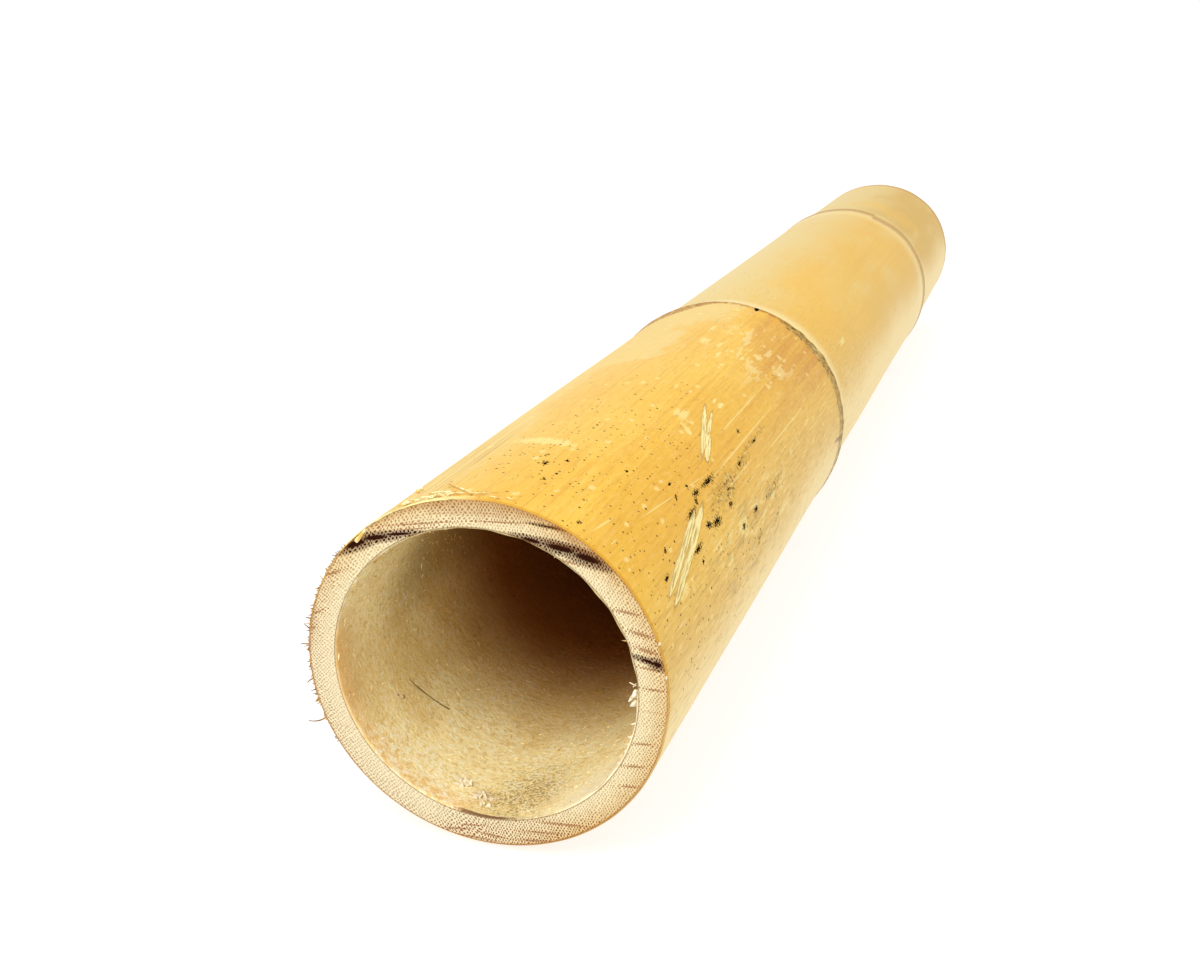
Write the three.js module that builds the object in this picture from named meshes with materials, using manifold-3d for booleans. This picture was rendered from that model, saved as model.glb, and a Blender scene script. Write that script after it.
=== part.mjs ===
// A cut length of thick bamboo culm, lying on a flat surface with its butt end at -Y.
// Three internodes, two nodes, and a hollow that a thin plate closes at each node.
// Millimetres, +Z up, origin under the middle of the culm on the surface it lies on.
import * as THREE from "three";
import { mergeVertices } from "three/addons/utils/BufferGeometryUtils.js";
import Module from "manifold-3d";

// Driving dimensions, along the culm from the butt cut and out from its middle line
const culmLength = 608;
const nodeAt = [222, 484];
const internodeRadius = [
  { lower: 45.0, upper: 44.7 },
  { lower: 43.7, upper: 43.4 },
  { lower: 42.6, upper: 42.0 },
];
const wall = { butt: 7.5, tip: 6.6 };

// The culm swells in a collar up to each leaf scar, steps in, and has a soft ridge above the step.
const collarRise = [0.8, 0.4];
const collarReach = 11;
const scarStep = 0.9;
const ridgeRise = 0.45;
const ridgeAbove = 7;
const ridgeReach = 5;

// The section is slightly oval, widest along a line turned from +X towards +Z.
const ovalShare = 0.0176;
const ovalTurn = THREE.MathUtils.degToRad(26);

// The node plates sit a little above the scars. Each has a hole where a rod was knocked through.
const plateAbove = 4;
const plateThickness = 5;
const cavityCornerRadius = 14;
const rodHoleRadius = 6;

// The culm lies on its two collars, each worn flat by this much.
const restFlatDepth = 0.5;

// How far blanks and cutters reach past the faces that they are cut to
const overrun = 6;

// Facets
const sectionSegments = 64;
const rodHoleSegments = 24;
const cornerSteps = 4;
const stationsAtNode = [-40, -20, -10, -5, -2, 0, scarStep, 4, 7, 10, 14, 22];

const wasm = await Module();
wasm.setup();

// A closed three.js geometry as a solid that can be joined and cut
function toSolid(geometry) {
  const bare = geometry.clone();
  bare.deleteAttribute("normal");
  bare.deleteAttribute("uv");
  const merged = mergeVertices(bare, 1e-4);
  const vertProperties = new Float32Array(merged.attributes.position.array);
  const triVerts = new Uint32Array(merged.index.array);
  return new wasm.Manifold(new wasm.Mesh({ numProp: 3, vertProperties, triVerts }));
}

// A solid back as a three.js geometry with flat shading normals
function toGeometry(solid) {
  const mesh = solid.getMesh();
  const geometry = new THREE.BufferGeometry();
  geometry.setAttribute("position", new THREE.BufferAttribute(mesh.vertProperties, 3));
  geometry.setIndex(new THREE.BufferAttribute(mesh.triVerts, 1));
  geometry.computeVertexNormals();
  return geometry;
}

// Ends of an internode along the culm: the cuts at the outside, the scars between
function internodeEnds(index) {
  return [[0, ...nodeAt][index], [...nodeAt, culmLength][index]];
}

// Radius of one internode at a distance from the butt, on the straight line between its two ends
function taper(index, along) {
  const [start, end] = internodeEnds(index);
  const { lower, upper } = internodeRadius[index];
  return THREE.MathUtils.mapLinear(along, start, end, lower, upper);
}

// Outer radius at a distance from the butt: the taper, the collar below the scar ahead,
// and the ridge above the scar behind. A point on a scar belongs to the internode below it.
function outerRadius(along) {
  const index = nodeAt.filter((scar) => along > scar).length;
  let radius = taper(index, along);
  if (index < nodeAt.length) {
    radius += collarRise[index] * Math.exp((along - nodeAt[index]) / collarReach);
  }
  if (index > 0) {
    const fromRidge = (along - nodeAt[index - 1] - ridgeAbove) / ridgeReach;
    radius += ridgeRise * Math.exp(-fromRidge * fromRidge);
  }
  return radius;
}

// Distances from the butt at which the skin is drawn: close together at the nodes, where it bends
function skinStations() {
  const atNodes = nodeAt.flatMap((scar) => stationsAtNode.map((step) => scar + step));
  return [-overrun, ...atNodes, culmLength + overrun];
}

// A profile of (radius, distance) points spun round +Y and pressed to the oval section
function spin(profile) {
  const geometry = new THREE.LatheGeometry(profile, sectionSegments);
  geometry.rotateY(ovalTurn);
  geometry.scale(1 + ovalShare, 1, 1 - ovalShare);
  geometry.rotateY(-ovalTurn);
  return toSolid(geometry);
}

// The whole culm with no hollow, a little longer than the finished length at both ends
function solidCulm() {
  const skin = skinStations().map((along) => new THREE.Vector2(outerRadius(along), along));
  const buttCentre = new THREE.Vector2(0, skin[0].y);
  const tipCentre = new THREE.Vector2(0, skin.at(-1).y);
  return spin([buttCentre, ...skin, tipCentre]);
}

function boreRadius(index, along) {
  return taper(index, along) - THREE.MathUtils.mapLinear(along, 0, culmLength, wall.butt, wall.tip);
}

// Where the hollow of an internode stops: at a node plate, or beyond a cut
function cavityEnds(index) {
  const [start, end] = internodeEnds(index);
  const half = plateThickness / 2;
  const low = index === 0 ? start - overrun : start + plateAbove + half;
  const high = index === nodeAt.length ? end + overrun : end + plateAbove - half;
  return [low, high];
}

// A quarter round from the plate's flat to the bore, in steps that leave out the flat's own end
function cornerRound(radius, plate, inward) {
  const steps = Array.from({ length: cornerSteps + 1 }, (_, i) => (i / cornerSteps) * (Math.PI / 2));
  return steps.map((angle) => {
    const out = radius - cavityCornerRadius * (1 - Math.sin(angle));
    const along = plate + inward * cavityCornerRadius * (1 - Math.cos(angle));
    return new THREE.Vector2(out, along);
  });
}

// The hollow of one internode: a bore with rounded corners where it meets a node plate
function cavity(index) {
  const [low, high] = cavityEnds(index);
  const atLow = boreRadius(index, low);
  const atHigh = boreRadius(index, high);
  const lowSide = index === 0 ? [new THREE.Vector2(atLow, low)] : cornerRound(atLow, low, 1);
  const highSide =
    index === nodeAt.length ? [new THREE.Vector2(atHigh, high)] : cornerRound(atHigh, high, -1).reverse();
  return spin([new THREE.Vector2(0, low), ...lowSide, ...highSide, new THREE.Vector2(0, high)]);
}

// The hole that a rod left in a node plate
function rodHole(scar) {
  const length = plateThickness + 2 * overrun;
  const geometry = new THREE.CylinderGeometry(rodHoleRadius, rodHoleRadius, length, rodHoleSegments);
  geometry.translate(0, scar + plateAbove, 0);
  return toSolid(geometry);
}

// How deep the underside of a collar lies below the culm's middle line
function collarDepth(scar) {
  const turnToUnderside = 2 * (-Math.PI / 2 - ovalTurn);
  return outerRadius(scar) * (1 + ovalShare * Math.cos(turnToUnderside));
}

// Tips the level culm so that both collars reach the surface, with its middle over the origin
function layDown(solid) {
  const [lowerDepth, upperDepth] = nodeAt.map(collarDepth);
  const dip = Math.atan2(lowerDepth - upperDepth, nodeAt[1] - nodeAt[0]);
  const place = new THREE.Matrix4()
    .makeTranslation(0, nodeAt[0] - culmLength / 2, lowerDepth - restFlatDepth)
    .multiply(new THREE.Matrix4().makeRotationX(-dip))
    .multiply(new THREE.Matrix4().makeTranslation(0, -nodeAt[0], 0));
  return solid.transform(place.elements);
}

// The space between the two saw cuts and above the surface
function trimBox() {
  const side = 4 * internodeRadius[0].lower;
  const box = new THREE.BoxGeometry(side, culmLength, side);
  box.translate(0, 0, side / 2);
  return toSolid(box);
}

function buildCulm() {
  let culm = solidCulm();
  internodeRadius.forEach((_, index) => {
    culm = culm.subtract(cavity(index));
  });
  nodeAt.forEach((scar) => {
    culm = culm.subtract(rodHole(scar));
  });
  return toGeometry(layDown(culm).intersect(trimBox()));
}

const bambooSkin = new THREE.MeshStandardMaterial({ color: 0xecbd62, roughness: 0.42, metalness: 0 });
const culm = new THREE.Mesh(buildCulm(), bambooSkin);
culm.name = "culm";

const cane = new THREE.Group();
cane.name = "bamboo_cane";
cane.add(culm);

export default cane;
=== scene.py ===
# %% [markdown]
# A cut length of thick bamboo cane, lying on a pale floor.
#
# The real cane grew as one tube. It has three internodes, a leaf scar at each of its two nodes,
# a hollow that a thin plate closes at each node, and two sawn ends. The packed solid already has
# that shape. This script wraps it in a finer skin with wear, gives it three finishes, and adds
# the loose fibres that the saw left. It starts by loading the solid as a fixed frame.

# %% Load the frame
import bpy
import numpy as np
from mathutils import Euler, Matrix, Vector


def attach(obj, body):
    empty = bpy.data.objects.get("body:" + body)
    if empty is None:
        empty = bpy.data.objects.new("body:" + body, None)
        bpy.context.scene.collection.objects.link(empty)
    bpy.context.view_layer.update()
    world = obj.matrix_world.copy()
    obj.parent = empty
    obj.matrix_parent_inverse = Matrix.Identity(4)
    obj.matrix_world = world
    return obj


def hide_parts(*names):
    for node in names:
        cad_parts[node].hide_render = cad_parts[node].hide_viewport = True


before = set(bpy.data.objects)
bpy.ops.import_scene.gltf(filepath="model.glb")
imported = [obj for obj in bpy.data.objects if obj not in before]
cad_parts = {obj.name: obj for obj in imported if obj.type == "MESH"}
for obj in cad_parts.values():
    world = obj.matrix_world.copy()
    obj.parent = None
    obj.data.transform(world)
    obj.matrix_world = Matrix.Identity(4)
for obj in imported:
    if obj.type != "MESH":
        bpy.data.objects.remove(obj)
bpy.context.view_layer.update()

# %% [markdown]
# The tube is described by two numbers at each point: how far it lies from the butt cut, and how
# far it is turned round the middle line, from +X towards +Z. A formula gives the radius there.
# A plain cylinder would miss the taper, the collar below each scar and the slight oval, so the
# same measures as in the solid are used, in metres.

# %% Measures of the tube
MM = 0.001
LENGTH = 608 * MM
SCARS = np.array([222, 484]) * MM
LOWER_RADIUS = np.array([45.0, 43.7, 42.6]) * MM
UPPER_RADIUS = np.array([44.7, 43.4, 42.0]) * MM
WALL_AT_BUTT = 7.5 * MM
WALL_AT_TIP = 6.6 * MM
COLLAR_RISE = np.array([0.8, 0.4, 0.0]) * MM
COLLAR_REACH = 11 * MM
RIDGE_RISE = 0.45 * MM
RIDGE_ABOVE = 7 * MM
RIDGE_REACH = 5 * MM
OVAL_SHARE = 0.0176
OVAL_TURN = np.radians(26)


def taper(along, internode):
    """Radius on the straight line between the two ends of an internode."""
    start = np.append(0, SCARS)[internode]
    end = np.append(SCARS, LENGTH)[internode]
    share = (along - start) / (end - start)
    return LOWER_RADIUS[internode] * (1 - share) + UPPER_RADIUS[internode] * share


def skin_radius(along):
    """Taper, plus collar * exp((s - scar ahead) / reach) below a scar,
    plus ridge * exp(-((s - scar behind - above) / reach)^2) above it."""
    internode = np.searchsorted(SCARS, along)
    ahead = np.append(SCARS, np.inf)[internode]
    behind = np.append(-np.inf, SCARS)[internode]
    collar = COLLAR_RISE[internode] * np.exp((along - ahead) / COLLAR_REACH)
    ridge = RIDGE_RISE * np.exp(-(((along - behind - RIDGE_ABOVE) / RIDGE_REACH) ** 2))
    return taper(along, internode) + collar + ridge


def bore_radius(along, internode):
    """Taper of the internode less the wall, which thins evenly from butt to tip."""
    wall = WALL_AT_BUTT + (WALL_AT_TIP - WALL_AT_BUTT) * along / LENGTH
    return taper(along, internode) - wall


print("skin radius at the butt and the tip, mm", skin_radius(np.array([0, LENGTH])) / MM)

# %% [markdown]
# The cane lies on its two collars. The lower collar is thicker, so the middle line dips a little
# towards the tip. Each collar is worn flat by half a millimetre where it touches the floor.

# %% Lay the tube on the floor
REST_FLAT = 0.5 * MM
collar_depth = skin_radius(SCARS) * (1 + OVAL_SHARE * np.cos(-np.pi - 2 * OVAL_TURN))
DIP = (collar_depth[0] - collar_depth[1]) / (SCARS[1] - SCARS[0])


def axis_height(along):
    """Height of the middle line: the depth of the lower collar less its flat, then a straight dip."""
    return collar_depth[0] - REST_FLAT - DIP * (along - SCARS[0])


def on_tube(along, turn, radius):
    """Oval ring: x = r (cos t + e cos(2 t0 - t)), z = axis + r (sin t + e sin(2 t0 - t)),
    y = s less half the length. Nothing goes under the floor."""
    x = radius * (np.cos(turn) + OVAL_SHARE * np.cos(2 * OVAL_TURN - turn))
    z = radius * (np.sin(turn) + OVAL_SHARE * np.sin(2 * OVAL_TURN - turn))
    y = along - LENGTH / 2 + 0 * x
    return np.stack([x, y, np.maximum(z + axis_height(along), 0)], axis=-1)


print("middle line at the butt, mm", axis_height(0) / MM, "dip in degrees", np.degrees(DIP))

# %% [markdown]
# The camera stands in front of the butt, to its right and above it, and looks along the cane.
# Its place was found from the ends of the ellipses that the two cuts and two scars make in the
# picture. It was found for a level cane, so it is tipped by the same dip as the cane.

# %% Camera
CAMERA_FROM_BUTT = Vector((121.36 * MM, -267.07 * MM, 149.31 * MM))
CAMERA_YAW = 0.33248
CAMERA_PITCH = 0.33320
LENS_PER_WIDTH = 1400 / 1200
SENSOR_WIDTH = 36
NEAREST_SEEN = 10 * MM

tip_down = Matrix.Rotation(-np.arctan(DIP), 3, "X")
butt_middle = Vector((0, -LENGTH / 2, axis_height(0)))
aim = tip_down @ Euler((np.pi / 2 - CAMERA_PITCH, 0, CAMERA_YAW)).to_matrix()
camera_data = bpy.data.cameras.new("camera")
camera_data.sensor_width = SENSOR_WIDTH
camera_data.lens = SENSOR_WIDTH * LENS_PER_WIDTH
camera_data.clip_start = NEAREST_SEEN
camera = bpy.data.objects.new("camera", camera_data)
camera.matrix_world = Matrix.Translation(butt_middle + tip_down @ CAMERA_FROM_BUTT) @ aim.to_4x4()
bpy.context.scene.collection.objects.link(camera)
bpy.context.scene.camera = camera
print("camera at", [round(value, 4) for value in camera.matrix_world.translation])

# %% [markdown]
# Light in a white studio comes from everywhere, with one large soft lamp above the front. It
# shines a little way into the bore. The floor glows like a light table, so that it turns plain
# white and only the shade right under the cane is left on it.

# %% Light and floor
WHITE = (1, 1, 1, 1)
SKY_STRENGTH = 1.0
world = bpy.data.worlds.new("white_studio")
world.use_nodes = True
sky = world.node_tree.nodes["Background"]
sky.inputs["Color"].default_value = WHITE
sky.inputs["Strength"].default_value = SKY_STRENGTH
bpy.context.scene.world = world
bpy.context.scene.view_settings.view_transform = "Standard"

LAMP_WAY = Vector((-0.1, -0.62, 0.78)).normalized()
LAMP_DISTANCE = 1.6
LAMP_SIZE = 0.8
LAMP_WATTS = 14
lamp_data = bpy.data.lights.new("soft_lamp", "AREA")
lamp_data.size = LAMP_SIZE
lamp_data.energy = LAMP_WATTS
lamp = bpy.data.objects.new("soft_lamp", lamp_data)
lamp.location = butt_middle + LAMP_WAY * LAMP_DISTANCE
lamp.rotation_euler = (-LAMP_WAY).to_track_quat("-Z", "Y").to_euler()
bpy.context.scene.collection.objects.link(lamp)

FLOOR_HALF = 40.0
FLOOR_GREY = 0.3
FLOOR_GLOW = 0.745
floor_mesh = bpy.data.meshes.new("floor")
floor_corners = np.array([[-1, -1, 0], [1, -1, 0], [1, 1, 0], [-1, 1, 0]]) * FLOOR_HALF
floor_mesh.from_pydata(floor_corners.tolist(), [], [(0, 1, 2, 3)])
floor = bpy.data.objects.new("floor", floor_mesh)
bpy.context.scene.collection.objects.link(floor)
floor_paint = bpy.data.materials.new("floor_paint")
floor_paint.use_nodes = True
floor_shader = floor_paint.node_tree.nodes["Principled BSDF"]
floor_shader.inputs["Base Color"].default_value = (FLOOR_GREY, FLOOR_GREY, FLOOR_GREY, 1)
floor_shader.inputs["Roughness"].default_value = 1.0
floor_shader.inputs["Emission Color"].default_value = WHITE
floor_shader.inputs["Emission Strength"].default_value = FLOOR_GLOW
floor_mesh.materials.append(floor_paint)
print("lamp", LAMP_DISTANCE, "m from the butt, floor", 2 * FLOOR_HALF, "m wide")

# %% [markdown]
# The skin of a grown cane is never true. Broad low waves run round it and along it, and the bore
# is fluted and lumpy. A sum of sines gives both. The number of waves round the cane is whole, so
# the surface closes on itself, and a seeded draw makes every run the same.

# %% Relief of skin and bore
draw = np.random.default_rng(11)


def waves(count, fewest, most, wavelength, height):
    """A table of (n, k, phase, amplitude) for a sum of sines, n whole and k up to 2 pi / wavelength."""
    n = draw.integers(fewest, most, count, endpoint=True)
    k = draw.uniform(-1, 1, count) * 2 * np.pi / wavelength
    phase = draw.uniform(0, 2 * np.pi, count)
    return np.stack([n, k, phase, np.full(count, height / np.sqrt(count / 2))])


def ripple(table, along, turn):
    """Sum of amplitude * sin(n t + k s + phase) on the grid of distances and turns."""
    n, k, phase, amplitude = table[:, :, None, None]
    return (amplitude * np.sin(n * turn + k * along[:, None] + phase)).sum(axis=0)


skin_waves = np.hstack([waves(8, 1, 5, 0.16, 0.09 * MM), waves(10, 8, 26, 0.4, 0.025 * MM)])
bore_waves = np.hstack([waves(10, 8, 34, 0.3, 0.07 * MM), waves(14, 5, 30, 0.02, 0.07 * MM)])
scar_waves = waves(6, 2, 9, 1.0, 0.45 * MM)
torn_waves = waves(8, 22, 60, 1.0, 0.4 * MM)
print("relief tables", skin_waves.shape, bore_waves.shape)

# %% [markdown]
# The near internode carries marks from its use: two scrapes that lifted the skin, and two nicks.
# They are made of strokes from one place to another with a width, on the skin unrolled flat. The
# strokes are carved into the mesh and coloured later, from one list, so shape and colour agree.

# %% Scrapes and nicks
UNROLL_RADIUS = 45 * MM


def unrolled(along_mm, turn_deg):
    """Place on the flat skin in metres: round the cane, then along it."""
    return np.array([np.radians(turn_deg) * UNROLL_RADIUS, along_mm * MM])


def stroke(start, end, width):
    """Middle, heading, half length and half width of a stroke between two flat places."""
    reach = end - start
    return (start + end) / 2, np.arctan2(reach[1], reach[0]), np.hypot(*reach) / 2, width / 2


def skin_strokes(rows):
    """Strokes from rows of (mm along, degrees round) twice and a width in mm."""
    return [stroke(unrolled(a, t), unrolled(b, u), w * MM) for a, t, b, u, w in rows]


SCRAPES = skin_strokes([
    (58.0, 36.8, 33.0, 28.2, 2.4),
    (44.0, 32.0, 15.4, 22.8, 2.3),
    (52.4, 37.6, 27.0, 30.2, 2.2),
    (37.0, 33.2, 14.8, 26.6, 2.1),
    (108.6, 59.4, 79.0, 47.8, 1.7),
    (108.2, 56.0, 89.0, 50.2, 1.2),
    (95.0, 51.8, 79.0, 45.4, 2.0),
])
NICKS = skin_strokes([
    (119.2, 55.6, 113.4, 55.2, 1.5),
    (118.6, 58.4, 114.2, 58.1, 0.8),
])


def stroke_distance(points, strokes):
    """Least over the strokes of the ellipse distance hypot(p / half length, q / half width)."""
    reach = []
    for middle, heading, half_length, half_width in strokes:
        flat = points - middle
        p = flat[..., 0] * np.cos(heading) + flat[..., 1] * np.sin(heading)
        q = flat[..., 1] * np.cos(heading) - flat[..., 0] * np.sin(heading)
        reach.append(np.hypot(p / half_length, q / half_width))
    return np.min(reach, axis=0)


def smooth_step(value, start, end):
    """3 x^2 - 2 x^3 of the share of the way from start to end."""
    share = np.clip((value - start) / (end - start), 0, 1)
    return share * share * (3 - 2 * share)


print(len(SCRAPES), "scrape strokes,", len(NICKS), "nicks")

# %% [markdown]
# The whole tube is one closed surface: a profile that runs up the skin, across the tip cut, back
# through the bores and plates, and out across the butt cut, carried round the middle line. Such
# a grid of quads has no poles and no seams, which a tube with glued ends would have. The profile
# is kept in named stretches, because each has its own finish and its own place in the bake map.

# %% Parts of the profile
EDGE = 0.3 * MM
PLATE_ABOVE = 4 * MM
PLATE_HALF = 2.5 * MM
CORNER = 14 * MM
ROD_HOLE = 6 * MM
FLAT_STEPS = 4
ROUND_STEPS = 7
HOLE_STEPS = 4
TIP_RINGS = 7
BUTT_RINGS = 12


def stations(*spans):
    """Distances from the first to the last of each span of (start, end, step) in mm, in order."""
    runs = [np.linspace(a, b, max(2, int(round(abs(b - a) / step)) + 1)) for a, b, step in spans]
    joined = np.concatenate([run[:-1] for run in runs] + [runs[-1][-1:]])
    return joined * MM


def quarter_round(radius, plate, inward):
    """From the flat of a plate to the bore: r - c (1 - sin a), plate + c (1 - cos a), a to 90 degrees."""
    angle = np.radians(np.linspace(0, 90, ROUND_STEPS))
    along = plate + inward * CORNER * (1 - np.cos(angle))
    return np.stack([along, radius - CORNER * (1 - np.sin(angle))], axis=1)


def plate_side(internode, plate, inward):
    """From the rim of the rod hole over the flat of a plate and round its corner to the bore."""
    radius = bore_radius(plate, internode)
    flat = np.linspace(ROD_HOLE, radius - CORNER, FLAT_STEPS + 1)[:-1]
    face = np.stack([np.full(FLAT_STEPS, plate), flat], axis=1)
    return np.concatenate([face, quarter_round(radius, plate, inward)])


def bore_run(internode, distances):
    """Points of the profile along the bore of an internode."""
    return np.stack([distances, bore_radius(distances, internode)], axis=1)


print("plates at", (SCARS + PLATE_ABOVE) / MM, "mm from the butt")

# %% [markdown]
# The stations lie close together at the cuts and at the scars, where the surface bends or is
# carved, and further apart elsewhere.

# %% Stretches of the profile
skin_at = stations(
    (0.3, 2.1, 0.6), (2.1, 120, 2), (120, 204, 3), (204, 217, 1), (217, 228, 0.5), (228, 240, 1),
    (240, 460, 5), (460, 478, 1.5), (478, 491, 0.6), (491, 503, 1.5), (503, 606, 4), (606, 607.7, 0.6),
)
skin_run = np.stack([skin_at, skin_radius(skin_at)], axis=1)
skin_rim = np.array([[0, skin_run[0, 1] - EDGE]])
skin_far_rim = np.array([[LENGTH, skin_run[-1, 1] - EDGE]])
skin = np.concatenate([skin_rim, skin_run, skin_far_rim])

plate_low = SCARS + PLATE_ABOVE - PLATE_HALF
plate_high = SCARS + PLATE_ABOVE + PLATE_HALF


def rod_hole(node):
    """Through the plate of a node along the hole that a rod left, towards the butt."""
    through = np.linspace(plate_high[node], plate_low[node], HOLE_STEPS)
    return np.stack([through, np.full(HOLE_STEPS, ROD_HOLE)], axis=1)


tip_mouth = bore_run(2, stations((607.7, 606, 0.6), (606, 510, 5)))
tip_plate = plate_side(2, plate_high[1], 1)
tip_bore = np.concatenate([[[LENGTH, tip_mouth[0, 1] + EDGE]], tip_mouth, tip_plate[::-1]])
upper_hole = rod_hole(1)
middle_bore = np.concatenate([
    plate_side(1, plate_low[1], -1),
    bore_run(1, stations((465, 250, 10))),
    plate_side(1, plate_high[0], 1)[::-1],
])
lower_hole = rod_hole(0)
butt_mouth = bore_run(0, stations((205, 130, 6), (130, 2.1, 3), (2.1, 0.3, 0.6)))
butt_bore = np.concatenate([plate_side(0, plate_low[0], -1), butt_mouth, [[0, butt_mouth[-1, 1] + EDGE]]])


def cut_across(start, end, rings):
    """Rings across a sawn end, closer together at its two edges."""
    share = (1 - np.cos(np.linspace(0, np.pi, rings))) / 2
    return start + (end - start) * share[:, None]


tip_cut = cut_across(skin[-1], tip_bore[0], TIP_RINGS)
butt_cut = cut_across(butt_bore[-1], skin[0], BUTT_RINGS)
stretches = [skin, tip_cut, tip_bore, upper_hole, middle_bore, lower_hole, butt_bore, butt_cut]
print("profile points in each stretch", [len(stretch) for stretch in stretches])

# %% [markdown]
# Now the profile goes round. The turns are closer together on the side that the camera sees. The
# scars wander a little, the one nearer the butt is torn on one side, and the strokes are cut in.

# %% Points of the tube
SKIN, TIP_CUT, TIP_BORE, UPPER_HOLE, MIDDLE_BORE, LOWER_HOLE, BUTT_BORE, BUTT_CUT = range(len(stretches))
turns = np.radians(np.concatenate([
    np.linspace(-90, -20, 30, endpoint=False),
    np.linspace(-20, 130, 125, endpoint=False),
    np.linspace(130, 270, 59, endpoint=False),
]))
row_start = np.concatenate([stretch[:-1] for stretch in stretches])
row_end = np.concatenate([stretch[1:] for stretch in stretches])
row_stretch = np.repeat(np.arange(len(stretches)), [len(stretch) - 1 for stretch in stretches])
along_rows, radius_rows = row_start.T
along_grid = np.repeat(along_rows[:, None], len(turns), axis=1)
radius_grid = np.repeat(radius_rows[:, None], len(turns), axis=1)

SCRAPE_DEPTH = 0.32 * MM
NICK_DEPTH = 0.15 * MM
CARVED_EDGE = 1.15
SCRAPE_FLOOR = 0.75
NICK_FLOOR = 0.6
LIP_RISE = 0.3 * MM
LIP_BELOW = 0.8 * MM
LIP_REACH = 0.8 * MM
GROOVE_DEPTH = 0.22 * MM
GROOVE_ABOVE = 1.7 * MM
GROOVE_REACH = 0.9 * MM
WHOLE_SHARE = 0.6
WANDER_REACH = 7 * MM
on_skin = row_stretch == SKIN
in_bore = (row_stretch >= TIP_BORE) & (row_stretch <= BUTT_BORE)

skin_along = along_rows[on_skin]
flat_places = np.stack(np.broadcast_arrays(turns * UNROLL_RADIUS, skin_along[:, None]), axis=-1)
radius_grid[on_skin] += ripple(skin_waves, skin_along, turns)
for strokes, depth, floor_at in ((SCRAPES, SCRAPE_DEPTH, SCRAPE_FLOOR), (NICKS, NICK_DEPTH, NICK_FLOOR)):
    carved = smooth_step(stroke_distance(flat_places, strokes), CARVED_EDGE, floor_at)
    radius_grid[on_skin] -= depth * carved
radius_grid[in_bore] += ripple(bore_waves, along_rows[in_bore], turns)

torn_side = smooth_step(np.degrees(turns), -35, 5) * smooth_step(np.degrees(turns), 75, 50)
for scar, torn_share in zip(SCARS, (1.0, 0.0)):
    apart = skin_along - scar
    lip = LIP_RISE * np.exp(-(((apart + LIP_BELOW) / LIP_REACH) ** 2))
    groove = GROOVE_DEPTH * np.exp(-(((apart - GROOVE_ABOVE) / GROOVE_REACH) ** 2))
    strength = WHOLE_SHARE + (1 - WHOLE_SHARE) * torn_side * torn_share
    radius_grid[on_skin] += (lip - groove)[:, None] * strength
    wander = ripple(scar_waves, np.array([scar]), turns)
    wander = wander + torn_share * torn_side * ripple(torn_waves, np.array([scar]), turns)
    along_grid[on_skin] += wander * np.exp(-np.abs(apart) / WANDER_REACH)[:, None]

points = on_tube(along_grid, turns[None, :], radius_grid)
print("tube points", points.shape, "lowest and highest", points.min((0, 1)), points.max((0, 1)))

# %% [markdown]
# Each quad joins a row to the next and a turn to the next, and the last ones join the first, so
# the surface is closed. The volume inside it is a check: it is above 0 if all faces look outward.

# %% Quads of the tube
rows, columns = points.shape[:2]
row = np.arange(rows)[:, None]
column = np.arange(columns)[None, :]
next_row = (row + 1) % rows
next_column = (column + 1) % columns
quads = np.stack([
    row * columns + column, next_row * columns + column,
    next_row * columns + next_column, row * columns + next_column,
], axis=-1).reshape(-1, 4)


def volume_of(corners):
    """Sixth of the sum of a . (b x c) over the triangles of a closed mesh of quads."""
    a, b, c, d = np.moveaxis(corners, 1, 0)
    return (np.einsum("ij,ij", a, np.cross(b, c)) + np.einsum("ij,ij", a, np.cross(c, d))) / 6


print("triangles", 2 * len(quads), "volume in litres", 1000 * volume_of(points.reshape(-1, 3)[quads]))

# %% [markdown]
# Two maps lie on the tube. Unrolled gives real distances for the finishes. OFBake packs every stretch into
# one square.

# %% Maps of the tube
ROW_CORNER = np.array([0, 1, 1, 0])
COLUMN_CORNER = np.array([0, 0, 1, 1])
turn_steps = np.diff(np.append(turns, turns[0] + 2 * np.pi))


def corner_map(row_pairs, column_pairs, turned=False):
    """Two values for the four corners of every quad, from pairs at each row and each column."""
    by_row = np.repeat(row_pairs[:, None, ROW_CORNER], columns, axis=1)
    by_column = np.repeat(column_pairs[None][..., COLUMN_CORNER], len(row_pairs), axis=0)
    first, second = (by_column, by_row) if turned else (by_row, by_column)
    return np.stack([first, second], axis=-1)


def unrolled_map(stretch):
    """Turn times radius, and distance along. On a cut the second is the distance from the bore.
    In a bore the turn is counted from the underside, so that the join lies at the top."""
    at = row_stretch == stretch
    pairs = np.stack([row_start[at, 0], row_end[at, 0]], axis=1)
    if stretch in (TIP_CUT, BUTT_CUT):
        inner = min(row_start[at, 1].min(), row_end[at, 1].min())
        pairs = np.stack([row_start[at, 1], row_end[at, 1]], axis=1) - inner
    first = turns
    if TIP_BORE <= stretch <= BUTT_BORE:
        first = (turns + np.pi / 2 + np.pi) % (2 * np.pi) - np.pi
    column_pairs = np.stack([first, first + turn_steps], axis=1) * UNROLL_RADIUS
    return corner_map(pairs, column_pairs, turned=True)


BAKE_PLACES = {
    SKIN: (0.004, 0.992, 0.004, 0.52, False),
    BUTT_CUT: (0.004, 0.992, 0.534, 0.062, True),
    TIP_CUT: (0.004, 0.992, 0.606, 0.046, True),
    BUTT_BORE: (0.004, 0.58, 0.662, 0.334, False),
    TIP_BORE: (0.594, 0.25, 0.662, 0.334, False),
    MIDDLE_BORE: (0.854, 0.1, 0.662, 0.334, False),
    UPPER_HOLE: (0.964, 0.014, 0.662, 0.334, False),
    LOWER_HOLE: (0.984, 0.012, 0.662, 0.334, False),
}


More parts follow.
